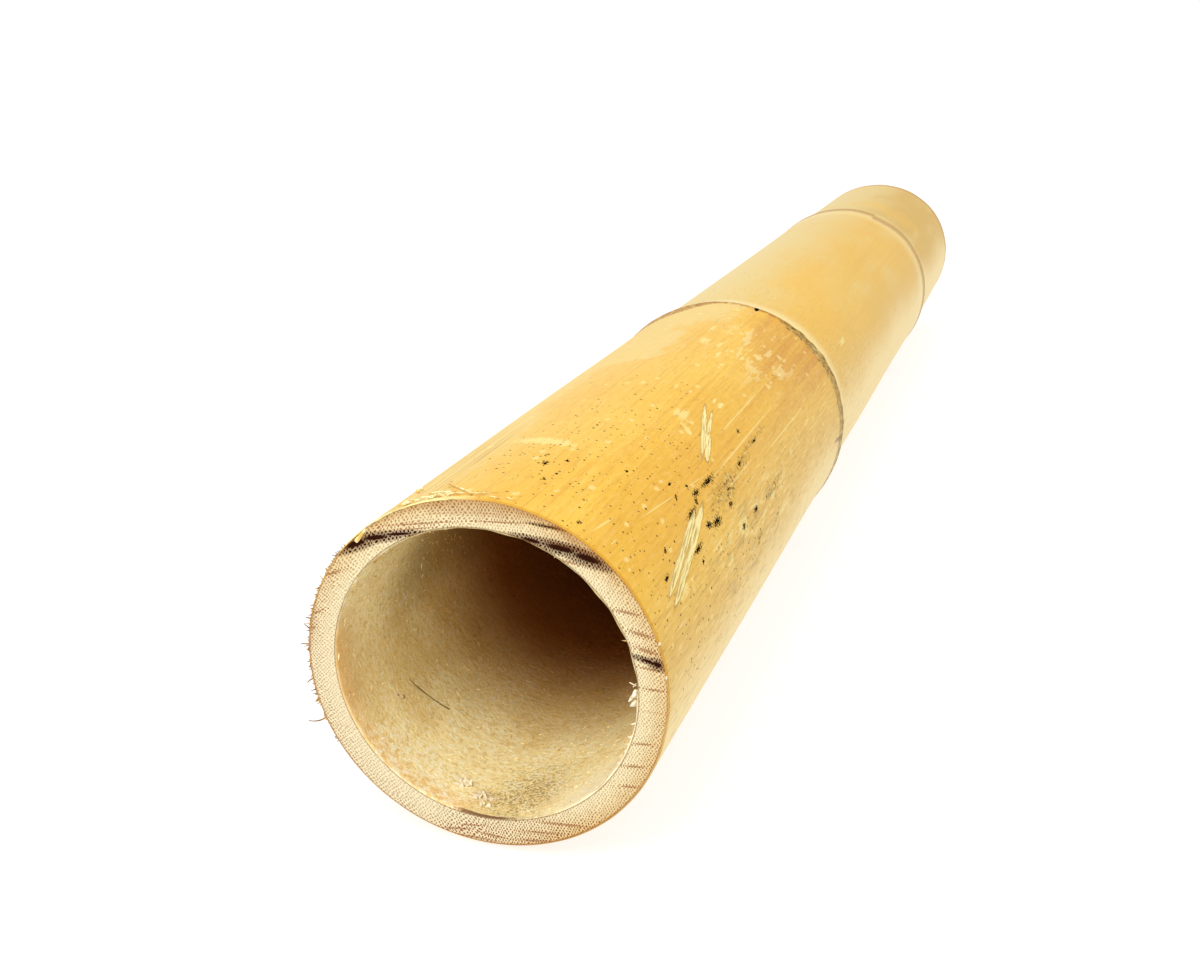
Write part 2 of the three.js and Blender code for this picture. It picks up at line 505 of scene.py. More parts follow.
def bake_map(stretch):
    """Share of the way along the stretch and round the tube, put into the stretch's rectangle."""
    left, width, bottom, height, turned = BAKE_PLACES[stretch]
    at = row_stretch == stretch
    step = np.hypot(*(row_end[at] - row_start[at]).T)
    reached = np.concatenate([[0], np.cumsum(step)]) / step.sum()
    row_pairs = np.stack([reached[:-1], reached[1:]], axis=1)
    share = (turns - turns[0]) / (2 * np.pi)
    column_pairs = np.stack([share, share + turn_steps / (2 * np.pi)], axis=1)
    return corner_map(row_pairs, column_pairs, turned) * (width, height) + (left, bottom)


unrolled_uv = np.concatenate([unrolled_map(stretch) for stretch in range(len(stretches))])
bake_uv = np.concatenate([bake_map(stretch) for stretch in range(len(stretches))])
print("corners in each map", unrolled_uv[..., 0].size, bake_uv[..., 0].size)

# %% [markdown]
# Finishes are written as sums and products. A small class holds one output of a shader node, and
# its operators add Math nodes, so an expression reads like the formula. Every other node comes
# from its add method, which takes the settings first and then the values or links of the sockets.

# %% Shader arithmetic
def fill_ramp(ramp, stops):
    """Gives a ramp its stops of (position, value), as greys."""
    while len(ramp.elements) < len(stops):
        ramp.elements.new(1.0)
    for element, (position, value) in zip(ramp.elements, stops):
        element.position = position
        element.color = (value, value, value, 1)


class Wire:
    """One output of a shader node. Arithmetic on it adds Math nodes to its tree."""

    def __init__(self, tree, socket=None):
        self.tree = tree
        self.socket = socket

    def add(self, kind, settings, inputs, output=0):
        """A new node with these settings, and with values or links in its sockets."""
        node = self.tree.nodes.new(kind)
        for name, value in settings.items():
            if name == "stops":
                fill_ramp(node.color_ramp, value)
            else:
                setattr(node, name, value)
        for name, value in inputs.items():
            if isinstance(value, Wire):
                self.tree.links.new(value.socket, node.inputs[name])
            else:
                node.inputs[name].default_value = value
        return Wire(self.tree, node.outputs[output] if node.outputs else None)

    def twin(self, output):
        """Another output of the node that this wire comes from."""
        return Wire(self.tree, self.socket.node.outputs[output])

    def math(self, operation, one, other=0.0):
        """A Math node of one or two values."""
        return self.add("ShaderNodeMath", {"operation": operation}, {0: one, 1: other})

    def __add__(self, other):
        return self.math("ADD", self, other)

    def __radd__(self, other):
        return self.math("ADD", other, self)

    def __sub__(self, other):
        return self.math("SUBTRACT", self, other)

    def __rsub__(self, other):
        return self.math("SUBTRACT", other, self)

    def __mul__(self, other):
        return self.math("MULTIPLY", self, other)

    def __rmul__(self, other):
        return self.math("MULTIPLY", other, self)

    def __abs__(self):
        return self.math("ABSOLUTE", self)

    def least(self, other):
        return self.math("MINIMUM", self, other)

    def most(self, other):
        return self.math("MAXIMUM", self, other)

    def fade(self, start, end):
        """0 at start and 1 at end, with a soft step between."""
        limits = {"Value": self, "From Min": start, "From Max": end}
        return self.add("ShaderNodeMapRange", {"interpolation_type": "SMOOTHSTEP"}, limits)

    def within(self, start, full, waning, end):
        """0 at start, 1 from full to waning, 0 again at end."""
        return self.fade(start, full) * self.fade(end, waning)

    def sway(self, width):
        """Noise as a shift to both sides, at most half the width each way."""
        return (self - 0.5) * width

    def stretch(self, scale):
        """A place multiplied by a scale on each axis."""
        return self.add("ShaderNodeVectorMath", {"operation": "MULTIPLY"}, {0: self, 1: scale})

    def noise(self, scale, detail=2.0, roughness=0.5):
        """Noise between 0 and 1 at a place, with one scale or one for each axis."""
        if isinstance(scale, tuple):
            return self.stretch(scale).noise(1.0, detail, roughness)
        inputs = {"Vector": self, "Scale": scale, "Detail": detail, "Roughness": roughness}
        return self.add("ShaderNodeTexNoise", {}, inputs)

    def cells(self):
        """Distance to the nearest of scattered points on a flat net with one point in each unit square."""
        inputs = {"Vector": self, "Scale": 1.0}
        return self.add("ShaderNodeTexVoronoi", {"voronoi_dimensions": "2D"}, inputs, "Distance")

    def mix(self, one, other):
        """From one colour to the other by this share."""
        return self.add("ShaderNodeMix", {"data_type": "RGBA"}, {0: self, 6: one, 7: other}, 2)

    def split(self):
        """The three parts of a place."""
        parts = {"Vector": self}
        return [self.add("ShaderNodeSeparateXYZ", {}, parts, axis) for axis in ("X", "Y", "Z")]

    def nearest(self, strokes):
        """Least ellipse distance to a list of strokes: 0 in a middle, 1 on an edge, 2 at the most."""
        closest = None
        for middle, heading, half_length, half_width in strokes:
            frame_of = {
                "Vector": self,
                "Location": (*middle, 0),
                "Rotation": (0, 0, heading),
                "Scale": (2 * half_length, 2 * half_width, 1),
            }
            local = self.add("ShaderNodeMapping", {"vector_type": "TEXTURE"}, frame_of)
            ball = {"gradient_type": "SPHERICAL"}
            close = self.add("ShaderNodeTexGradient", ball, {"Vector": local}, "Fac")
            closest = close if closest is None else closest.most(close)
        return 2 - closest * 2


print("methods of a wire:", [name for name in vars(Wire) if not name.startswith("_")])

# %% [markdown]
# Colours are given as they look on a screen, because that is how they are compared. Every finish
# starts from an empty material with its place on the piece, and ends with its shader.

# %% Colours, and the start and end of a finish
def tone(red, green, blue):
    """A colour as seen on a screen, 0 to 255, as the light that it reflects."""
    seen = np.array([red, green, blue]) / 255
    light = np.where(seen <= 0.04045, seen / 12.92, ((seen + 0.055) / 1.055) ** 2.4)
    return (*light.tolist(), 1.0)


def start_finish(name):
    """An empty material, a wire to start its nodes from, and the place in object coordinates."""
    material = bpy.data.materials.new(name)
    material.use_nodes = True
    material.node_tree.nodes.clear()
    wire = Wire(material.node_tree)
    return material, wire, wire.add("ShaderNodeTexCoord", {}, {}, "Object")


def unrolled_place(wire):
    """The place on the flat skin or bore, its mm along the cane and its degrees round it."""
    flat = wire.add("ShaderNodeUVMap", {"uv_map": "Unrolled"}, {})
    flat_round, flat_along, _ = flat.split()
    along = flat_along * (1 / MM)
    turn = flat_round * float(np.degrees(1 / UNROLL_RADIUS))
    return flat, along, turn


def tell(wire, part):
    """Prints how many nodes a finish has after one of its parts."""
    print(part, "done,", len(wire.tree.nodes), "nodes")


def close_finish(wire, sockets, marks=None):
    """Ends a finish. Marks are a share and the sockets of a second shader, mixed in by that share."""
    shader = wire.add("ShaderNodeBsdfPrincipled", {}, sockets)
    if marks:
        share, mark_sockets = marks
        matt = wire.add("ShaderNodeBsdfPrincipled", {}, mark_sockets)
        shader = wire.add("ShaderNodeMixShader", {}, {0: share, 1: shader, 2: matt})
    wire.add("ShaderNodeOutputMaterial", {}, {"Surface": shader})
    tell(wire, "whole finish")


def bump(wire, height, distance):
    """A normal bent by a height between about 0 and 1, which stands for this distance."""
    inputs = {"Height": height, "Distance": distance, "Strength": 1.0}
    return wire.add("ShaderNodeBump", {}, inputs)


print("a middle grey reflects", tone(128, 128, 128)[0])

# %% [markdown]
# The skin is amber and smooth, with a fine grain along the cane, tiny black specks of mould, and
# paler places where the wax is rubbed off. A photograph could be projected, but it would carry
# its own light and only one side. Noise stretched along the cane, specks from scattered cells
# and the named strokes give all sides their wear. Places are given in millimetres from the butt
# and in degrees round from +X towards +Z, and the other numbers are shares.

# %% Skin finish: grain and ground colour
skin_finish, wire, place = start_finish("bamboo_skin")
flat, along, turn = unrolled_place(wire)

fine_grain = place.noise((1500, 16, 1500), 3.0, 0.6)
mid_grain = place.noise((480, 8, 480))
blotches = place.noise((38, 22, 38), 3.0, 0.55)
ragged = place.noise((420, 260, 420), 3.0, 0.6)
dashes = place.noise((1900, 110, 1900))

AMBER = tone(227, 176, 46)
LIGHT_AMBER = tone(230, 184, 60)
DEEP_AMBER = tone(204, 142, 26)
colour = blotches.fade(0.35, 0.7).mix(AMBER, LIGHT_AMBER)
colour = (mid_grain.fade(0.48, 0.75) * 0.3).mix(colour, DEEP_AMBER)
colour = (fine_grain.fade(0.5, 0.75) * 0.4).mix(colour, DEEP_AMBER)
tell(wire, "grain and ground colour")

# %% [markdown]
# Each internode has its own tint. Round the cane the colour also carries painted light: the top is made
# paler as if lit from above, the right side is duller with painted shade, and the lower right goes over to
# straw, which is painted bounce light from the floor. The skin browns towards the first scar. Broad noise
# moves the borders, so none of them is straight.

# %% Skin finish: tints of the three internodes, and painted light and shade round the cane
FIRST_SCAR, SECOND_SCAR = (SCARS / MM).tolist()
TOP_LIGHT_TINT = tone(224, 182, 88)
SIDE_SHADE_TINT = tone(212, 172, 80)
FLOOR_BOUNCE_STRAW = tone(238, 214, 148)
SECOND_TINT = tone(219, 174, 66)
SECOND_PALE = tone(218, 192, 116)
TIP_TINT = tone(200, 161, 62)
BROWN_TINT = tone(190, 124, 16)
past_first = along.fade(FIRST_SCAR - 0.5, FIRST_SCAR + 1.5)
past_second = along.fade(SECOND_SCAR - 0.5, SECOND_SCAR + 1.5)
cloudy_turn = turn + blotches.sway(40.0)
colour = (past_first * 0.7).mix(colour, SECOND_TINT)
colour = (past_second * 0.8).mix(colour, TIP_TINT)
near_first = along.fade(95, 205) * (1 - past_first)
near_first = near_first * cloudy_turn.within(22, 36, 54, 74)
colour = (near_first * (mid_grain.fade(0.35, 0.65) * 0.3 + 0.4)).mix(colour, BROWN_TINT)
# Painted light: the top is made paler, as if lit from above.
lit_top = cloudy_turn.within(62, 112, 160, 205)
colour = (lit_top * 0.6).mix(colour, TOP_LIGHT_TINT)
# Painted light on the top of the far internodes as well.
lit_pale_top = cloudy_turn.within(58, 96, 160, 205) * past_first
colour = (lit_pale_top * 0.7).mix(colour, SECOND_PALE)
broad = place.noise((26, 13, 26))
colour = (broad.fade(0.5, 0.68) * past_first * 0.45).mix(colour, SECOND_PALE)
colour = (broad.fade(0.46, 0.32) * past_first * 0.4).mix(colour, AMBER)
long_clouds = place.noise((70, 14, 70), 3.0, 0.6)
colour = (long_clouds.fade(0.5, 0.68) * past_first * 0.4).mix(colour, SECOND_PALE)
# Painted shade: the right side is made duller and darker.
colour = (cloudy_turn.fade(48, 8) * turn.fade(-85, -55) * 0.75).mix(colour, SIDE_SHADE_TINT)
# Painted bounce light from the floor: the lower right side turns pale straw.
bounce_turn = turn + blotches.sway(18.0) - past_first * 12.0
colour = (bounce_turn.fade(14, -14) * turn.fade(-80, -45) * 0.85).mix(colour, FLOOR_BOUNCE_STRAW)
orange_side = turn.within(26, 38, 52, 66) * along.fade(150, 90)
colour = (orange_side * 0.28).mix(colour, DEEP_AMBER)
amber_patch = flat.nearest(skin_strokes([(228, 60, 335, 70, 34)])) + blotches.sway(1.6)
colour = (amber_patch.fade(1.5, 0.2) * past_first * 0.6).mix(colour, AMBER)
tell(wire, "tints")

# %% [markdown]
# Close up, the grain breaks into short brown and pale dashes. They fade out up the cane.

# %% Skin finish: short dashes of grain, plainest on the near internode
DASH_BROWN = tone(150, 98, 26)
SHORT_PALE = tone(246, 226, 164)
near_share = along.fade(420, 150)
right_side = turn.fade(42, 18)
colour = (dashes.fade(0.56, 0.68) * near_share * (0.17 + right_side * 0.18)).mix(colour, DASH_BROWN)
colour = (dashes.fade(0.42, 0.3) * near_share * (0.08 + right_side * 0.32)).mix(colour, SHORT_PALE)
mottles = place.noise((1000, 300, 1000), 3.0, 0.65)
colour = (mottles.fade(0.52, 0.66) * near_share * 0.08).mix(colour, DASH_BROWN)
colour = (mottles.fade(0.47, 0.34) * near_share * 0.1).mix(colour, SHORT_PALE)
tell(wire, "dashes")

# %% [markdown]
# On the upper left the wax is rubbed off. The border of that side was followed as turns at a few
# distances, and a colour ramp joins them, which is simpler than a painted mask.

# %% Skin finish: the pale side where the wax is rubbed off
RUBBED_EDGE = [
    (0, 104), (60, 104), (75, 107), (82, 112), (128, 110), (133, 97), (137, 90), (165, 89),
    (183, 97), (195, 84), (206, 82), (222, 78), (240, 100), (600, 104),
]
RUBBED_SPAN = 640.0
HALF_TURN = 180.0
edge_stops = [(at / RUBBED_SPAN, angle / HALF_TURN) for at, angle in RUBBED_EDGE]
edge = along.add("ShaderNodeValToRGB", {"stops": edge_stops}, {"Fac": along * (1 / RUBBED_SPAN)})
past_edge = turn - edge * HALF_TURN + ragged.sway(24.0) + mid_grain.sway(14.0)
pale_end = cloudy_turn + ragged.sway(24.0) + mid_grain.sway(30.0)
rubbed = past_edge.fade(-5.0, 5.0) * pale_end.fade(172, 154) * (1 - past_first)
rubbed_far = past_edge.fade(-18, 14) * pale_end.fade(180, 150) * past_first
stringy = place.noise((1500, 7, 1500), 2.0, 0.6)
PALE = tone(222, 199, 136)
STRING_BROWN = tone(184, 140, 66)
colour = (rubbed * (0.5 + 0.4 * ragged) + rubbed_far * 0.4).mix(colour, PALE)
colour = (rubbed * along.fade(85, 30) * stringy.fade(0.5, 0.6) * 0.65).mix(colour, STRING_BROWN)
tell(wire, "rubbed side")

# %% [markdown]
# The carved scrapes show raw fibre that runs along them. Pale patches and thin scratches are
# named strokes too. Loose flecks come from a share of scattered cells.

# %% Skin finish: scrapes, nicks and pale flecks
PALE_PATCHES = skin_strokes([
    (47, 104, 45, 82, 5.4), (27, 24, 22.5, 23, 3), (31.6, 23.6, 30, 23.2, 1.4),
    (62.5, 14.8, 58, 14.4, 3.6), (41, 14.8, 39.6, 14.4, 2), (20, 51.4, 18.4, 51, 1.4),
    (5.6, 42, 4.2, 41.6, 1.2), (97, 63.4, 89.5, 63, 4.6), (88.5, 61, 84.6, 55.4, 2.4),
    (114.5, 73.2, 111, 73, 1.3), (114, 67.4, 111.5, 67.2, 1.2), (109.5, 84.2, 106, 84, 1.2),
    (83, 20.2, 74, 17.4, 6.5), (96, 20.4, 93.5, 19.6, 2.4), (115, 16.4, 109, 15.8, 3),
    (188, 83.3, 178, 82.7, 1.3), (162, 71.2, 150, 70.8, 1), (170, 74.2, 161.5, 73.8, 1.3),
    (170, 80.8, 161.5, 80.2, 3.4), (163.5, 62.5, 159.4, 62.1, 1.7), (176, 58, 169.5, 57.4, 3.4),
    (188, 71.2, 185.5, 70.8, 1.4), (174, 47, 171.6, 46.6, 2), (158, 47, 155, 46.6, 2.4),
    (187.5, 51.6, 184, 51.2, 2.6), (222.4, 43.5, 216.4, 38, 4.2), (268, 33.4, 259, 32.8, 3),
])
THIN_SCRATCHES = skin_strokes([
    (49, 46.1, 25, 49.4, 0.45), (18, 55.2, 6, 57, 0.6), (11, 50.2, 6.5, 50.6, 0.45),
    (152, 40.2, 66, 40.2, 0.6), (152, 48.4, 92, 48.4, 0.6), (112, 33, 70, 33.4, 0.6),
    (180, 29, 120, 30, 0.7), (72, 42.8, 52, 45.6, 0.35),
])
RAW_FIBRE = tone(236, 220, 152)
FIBRE_SHADE = tone(178, 140, 64)
SCRAPE_EDGE = tone(140, 94, 34)
SCRAPE_HEADING = SCRAPES[0][1]
jagged = ragged.sway(0.5) + dashes.sway(0.5)
turned_flat = {"Vector": flat, "Rotation": (0, 0, SCRAPE_HEADING)}
along_scrape = flat.add("ShaderNodeMapping", {"vector_type": "TEXTURE"}, turned_flat)
fibre_lines = along_scrape.noise((130, 2800, 1), 2.0, 0.6)
scrape_reach = flat.nearest(SCRAPES) + jagged * 0.5 + fibre_lines.sway(0.5)
scraped = scrape_reach.fade(1.05, 0.92)
scrape_rim = scrape_reach.fade(1.2, 1.04) * (1 - scraped)
nicked = (flat.nearest(NICKS) + jagged).fade(1.1, 0.8)
streaky = ragged.sway(1.6) + dashes.sway(2.0)
patched = (flat.nearest(PALE_PATCHES) + streaky).fade(1.25, 0.55)
scratched = (flat.nearest(THIN_SCRATCHES) + jagged * 0.8).fade(1.1, 0.5)
fleck_cells = flat.stretch((170, 110, 1)).cells()
fleck_seed, _, _ = fleck_cells.twin("Color").split()
flecks = (fleck_cells + ragged.sway(0.3)).fade(0.16, 0.08) * fleck_seed.fade(0.76, 0.8)
flecks = flecks * (1 - past_first * 0.8)
pale_marks = (patched * 0.8).most(scratched * 0.8).most(flecks * 0.7).most(nicked)
colour = (pale_marks * 0.7).mix(colour, RAW_FIBRE)
colour = (scrape_rim * 0.6).mix(colour, SCRAPE_EDGE)
scrape_colour = fibre_lines.fade(0.32, 0.54).mix(FIBRE_SHADE, RAW_FIBRE)
colour = scraped.mix(colour, scrape_colour)
tell(wire, "scrapes and flecks")

# %% [markdown]
# Rain left grey smudges, pale smears and brown specks on the near internode. Specks are cells of
# a scattered net, each drawn only if its own random number is under the share for that place.

# %% Skin finish: weather stains and specks
SMUDGES = skin_strokes([
    (62, 33.5, 92, 34.5, 7), (92, 35, 106, 36, 3.5), (96, 20.5, 89, 16.5, 3),
    (95, 9.8, 87, 7.6, 2.6), (128, 19, 104, 17, 2.6), (66, 22, 60, 20, 2.2),
    (130, 37.5, 100, 37.5, 1.4), (118, 8, 106, 6, 2.4),
])
GREY_TAN = tone(150, 126, 70)
SPECK_BROWN = tone(84, 46, 10)
smudge_reach = flat.nearest(SMUDGES) + ragged.sway(1.6)
smudge = smudge_reach.fade(1.3, 0.4) * flat.noise(900.0, 3.0, 0.7).fade(0.36, 0.6)
colour = (smudge * 0.5).mix(colour, GREY_TAN)
smears = place.noise((300, 75, 300), 3.0, 0.65)
smear_zone = along.within(128, 165, 204, 216) * turn.within(36, 48, 70, 86)
colour = (smears.fade(0.55, 0.62) * smear_zone * 0.42).mix(colour, RAW_FIBRE)
grime_zone = turn.within(-10, 2, 18, 30) * along.within(30, 60, 110, 150)
colour = (smears.fade(0.54, 0.66) * grime_zone * 0.4).mix(colour, GREY_TAN)
colour = (smears.fade(0.45, 0.36) * grime_zone * 0.4).mix(colour, RAW_FIBRE)
grit = flat.noise((1100, 620, 1), 2.0, 0.6)
colour = (smudge_reach.fade(1.6, 0.6) * grit.fade(0.56, 0.64) * 0.75).mix(colour, SPECK_BROWN)
colour = (smudge_reach.fade(1.6, 0.6) * grit.fade(0.4, 0.33) * 0.5).mix(colour, RAW_FIBRE)


SPECK_LEAST = 0.03


def speckle(across_mm, along_mm, largest, share):
    """Specks of mixed size on a share of the cells of a scattered net on the flat skin."""
    net = flat.stretch((1 / (across_mm * MM), 1 / (along_mm * MM), 1)).cells()
    seed, size, _ = net.twin("Color").split()
    return (size * largest + SPECK_LEAST - net).fade(0.0, 0.03) * (share - seed).fade(0.0, 0.02)


speck_room = along.fade(135, 45) * turn.within(-25, 30, 88, 115) * (0.4 + blotches)
brown_specks = speckle(1.9, 2.4, 0.15, speck_room * 0.42 + 0.02)
black_specks = speckle(2.8, 3.2, 0.11, speck_room * 0.32)
colour = (brown_specks * (1 - scraped) * 0.85).mix(colour, SPECK_BROWN)
tell(wire, "stains and specks")

# %% [markdown]
# Each node has a dark line where the leaf stood and a cream band above it. The first line is wide
# and torn on the right, and the second has a kink at the top.

# %% Skin finish: the scar lines at the nodes
SCAR_BROWN = tone(150, 94, 34)
SCAR_OLIVE = tone(132, 108, 52)
SCAR_ORANGE = tone(180, 124, 36)
SECOND_LINE = tone(164, 114, 26)
SPOT_BROWN = tone(110, 72, 40)
CREAM = tone(238, 220, 158)
from_first = along - FIRST_SCAR
from_second = along - SECOND_SCAR
speckled = place.noise(620.0, 3.0, 0.7)
torn = turn.within(22, 32, 58, 66)
scar_width = 2.4 + turn.fade(66, 56) * 3.4 + turn.within(90, 112, 135, 165) * 7.0
scar_reach = from_first + scar_width + (speckled - 0.5) * (2.0 + torn * 8.0)
first_line = scar_reach.fade(-0.6, 1.4) * along.fade(FIRST_SCAR + 1.5, FIRST_SCAR + 0.9)
first_line = first_line * (0.35 + speckled.fade(0.38, 0.58) * 0.6)
kink = turn.within(38, 66, 69, 71) * 4.5
second_line = abs(from_second + 2.2 + kink + speckled.sway(3.0)).fade(8.0, 0.8)
second_line = second_line * (0.6 + speckled * 0.8)
cream_band = from_first.fade(16, 3) * past_first + from_second.fade(10, 2) * past_second * 0.6
olive = turn.fade(66, 58)
colour = (cream_band * 0.75).mix(colour, CREAM)
colour = (first_line * 0.9).mix(colour, olive.mix(SCAR_BROWN, SCAR_OLIVE))
before_second = from_second.fade(-26, -8) * (1 - past_second)
colour = (before_second * 0.4).mix(colour, CREAM)
colour = (second_line * (0.7 - turn.fade(110, 140) * 0.3)).mix(colour, SECOND_LINE)
colour = (along.fade(599.0, 606.0) * 0.7).mix(colour, SCAR_ORANGE)
frayed = (along + ragged.sway(6.0)).fade(1.4, 0.6) * turn.within(86, 102, 125, 150)
colour = frayed.mix(colour, RAW_FIBRE)
colour = (along.fade(0.8, 0.2) * turn.fade(104, 84) * 0.6).mix(colour, SCAR_ORANGE)
scar_spot = flat.nearest(skin_strokes([(222.6, 74.8, 218.0, 74.2, 1.9)]))
scar_dark = (scar_spot + (speckled - 0.5)).fade(1.1, 0.7)
scar_dark = scar_dark.most(first_line * torn * speckled.fade(0.56, 0.66) * 0.7)
side_spot = flat.nearest(skin_strokes([(221, -2.5, 208, -0.5, 2.0)])) + speckled.sway(1.5)
colour = (side_spot.fade(1.3, 0.4) * 0.7).mix(colour, SPOT_BROWN)
tell(wire, "scar lines")

# %% [markdown]
# Mould is quite black, and even a weak gloss would lift it to grey. So it is a second, matt
# shader, mixed in by its share. Worn places are rougher than the waxed skin.

# %% Skin finish: mould, gloss and fine relief
MOULD = skin_strokes([
    (76, 40.6, 64, 41, 1.7), (62, 41.4, 57, 41.2, 1.9), (57.5, 40.6, 55.5, 38.4, 1.7),
    (53.5, 38, 45.5, 37.6, 2), (65, 28.6, 57, 29.4, 2.6), (57.5, 30.2, 53, 31, 2.2),
    (45.5, 28.6, 38.5, 28.4, 1.7), (42.5, 24.4, 40.5, 24, 1.3), (31, 84.2, 27.5, 84, 1.6),
    (20.4, 79.6, 18.4, 79.6, 1.3), (35, 79.3, 33, 79.1, 1.1), (25, 78.1, 23.8, 78.1, 1),
    (36, 86.2, 34, 86.2, 0.9), (19.5, 31.2, 16, 31, 1.4), (26, 37.2, 24, 36.8, 1.3),
    (112, 44.2, 109.5, 44, 1.5), (98, 35.9, 94.5, 35.7, 1.3), (119, 36.9, 113, 37, 0.9),
    (77.5, 29.2, 73.5, 28.6, 1.5), (81, 33, 78, 33.2, 0.9), (95, 18.9, 91, 18.4, 1.5),
    (80.5, 18.8, 77, 18.6, 2), (59, 45.2, 57, 45, 1), (50, 46, 47.5, 44.8, 1),
    (52.5, 49.8, 50.5, 49.6, 0.9), (43, 62.6, 41.4, 62.4, 0.9), (7, 61.6, 5, 61.4, 1),
])
BLACK = tone(26, 18, 9)
MOULD_FROM = 0.345
MOULD_FALL = 0.19
SKIN_RELIEF = 0.12 * MM
clots = flat.noise(1500.0, 3.0, 0.7)
mould = (clots - MOULD_FROM - flat.nearest(MOULD) * MOULD_FALL).fade(0.0, 0.03)
black_marks = (mould * (1 - scraped * 0.7)).most(black_specks * (1 - scraped) * 0.85).most(scar_dark)
worn = rubbed.most(pale_marks).most(scraped).most(smudge)
roughness = 0.38 + worn * 0.28 + fine_grain * 0.1
height = fine_grain * 0.25 - scraped * fibre_lines * 0.6 + ragged * rubbed * 0.3
close_finish(wire, {
    "Base Color": colour,
    "Roughness": roughness,
    "Specular IOR Level": 0.2,
    "Normal": bump(wire, height, SKIN_RELIEF),
}, (black_marks, {"Base Color": BLACK, "Roughness": 1.0, "Specular IOR Level": 0.0}))

# %% [markdown]
# A sawn end shows the cut ends of the bundles that carry water: brown dots in a cream ground,
# closer together and browner towards the skin. The saw drew them out in flat arches, and some
# arches are stained black. Two crossed cosines on a place bent along the arches give rows of
# dots. Distances on the cut are in millimetres.

# %% Sawn finish: ground and dots
saw_finish, wire, place = start_finish("sawn_end")
flat = wire.add("ShaderNodeUVMap", {"uv_map": "Unrolled"}, {})
_, flat_depth, _ = flat.split()
depth = flat_depth * (1 / MM)
place_x, place_y, place_z = place.split()
tip_side = place_y.fade(-0.1, 0.1) * 2.0
across = place_x * (1 / MM)
upward = place_z * (1 / MM) - float(axis_height(0) / MM)
ARCH_TOP = 9.0
ARCH_ROUND = 220.0
ARCH_FLAT_AT = -10.0
ARCH_RISE = 30.0
arching = ((upward - ARCH_FLAT_AT) * (1 / ARCH_RISE)).least(1.1)
off_top = across - ARCH_TOP
arch = upward + off_top * off_top * arching * (1 / ARCH_ROUND)
level = wire.add("ShaderNodeCombineXYZ", {}, {"X": across, "Y": arch})
face = wire.add("ShaderNodeCombineXYZ", {}, {"X": across, "Y": upward})

DOT_STEP = 0.78
ROW_STEP = 0.68
LEFT_SHARE = 0.74
row_tint = level.noise((0.035, 1.2, 1), 3.0, 0.6)
cloud = face.noise(0.35, 3.0, 0.55)
shaky = face.noise(1.1, 1.0, 0.5)
by_row = wire.math("COSINE", (arch + shaky.sway(0.8)) * (np.pi / ROW_STEP))
dot_across = across.most(0.0) + across.least(0.0) * LEFT_SHARE
by_step = wire.math("COSINE", (dot_across + cloud.sway(2.0)) * (2 * np.pi / DOT_STEP))
dots = (by_row * by_step).fade(-0.05, 0.6)

GROUND = tone(225, 209, 167)
GROUND_DULL = tone(224, 209, 172)
GROUND_WARM = tone(212, 178, 120)
DOT_BROWN = tone(112, 68, 26)
ROW_BROWN = tone(176, 116, 58)
EDGE_ORANGE = tone(156, 102, 40)
towards_skin = depth.fade(0.8, 6.9)
quiet = (across * -1 - upward).fade(0, 50)
bottom = upward.fade(-27, -40) * across.fade(-16, -6)
colour = (towards_skin * 0.7 + bottom * 0.35 + cloud.sway(0.4)).mix(GROUND, GROUND_WARM)
colour = (quiet * 0.9).mix(colour, GROUND_DULL)
dot_strength = 0.4 + towards_skin * 0.3 + bottom * 0.45 + cloud.sway(0.4)
dot_share = dots * dot_strength * (1 - quiet * 0.1)
colour = dot_share.mix(colour, DOT_BROWN)
row_share = row_tint.fade(0.55, 0.75) * (0.2 + towards_skin * 0.5 + bottom * 0.3) * (1 - quiet * 0.5)
colour = row_share.mix(colour, ROW_BROWN)
tell(wire, "ground and dots")

# %% [markdown]
# The stains lie along the arches, so they are strokes on the cut. Their edges follow the dots.

# %% Sawn finish: stained arches
def face_strokes(rows):
    """Strokes from rows of two places on the cut and a width, all in mm."""
    return [stroke(np.array([a, b]), np.array([c, d]), w) for a, b, c, d, w in rows]


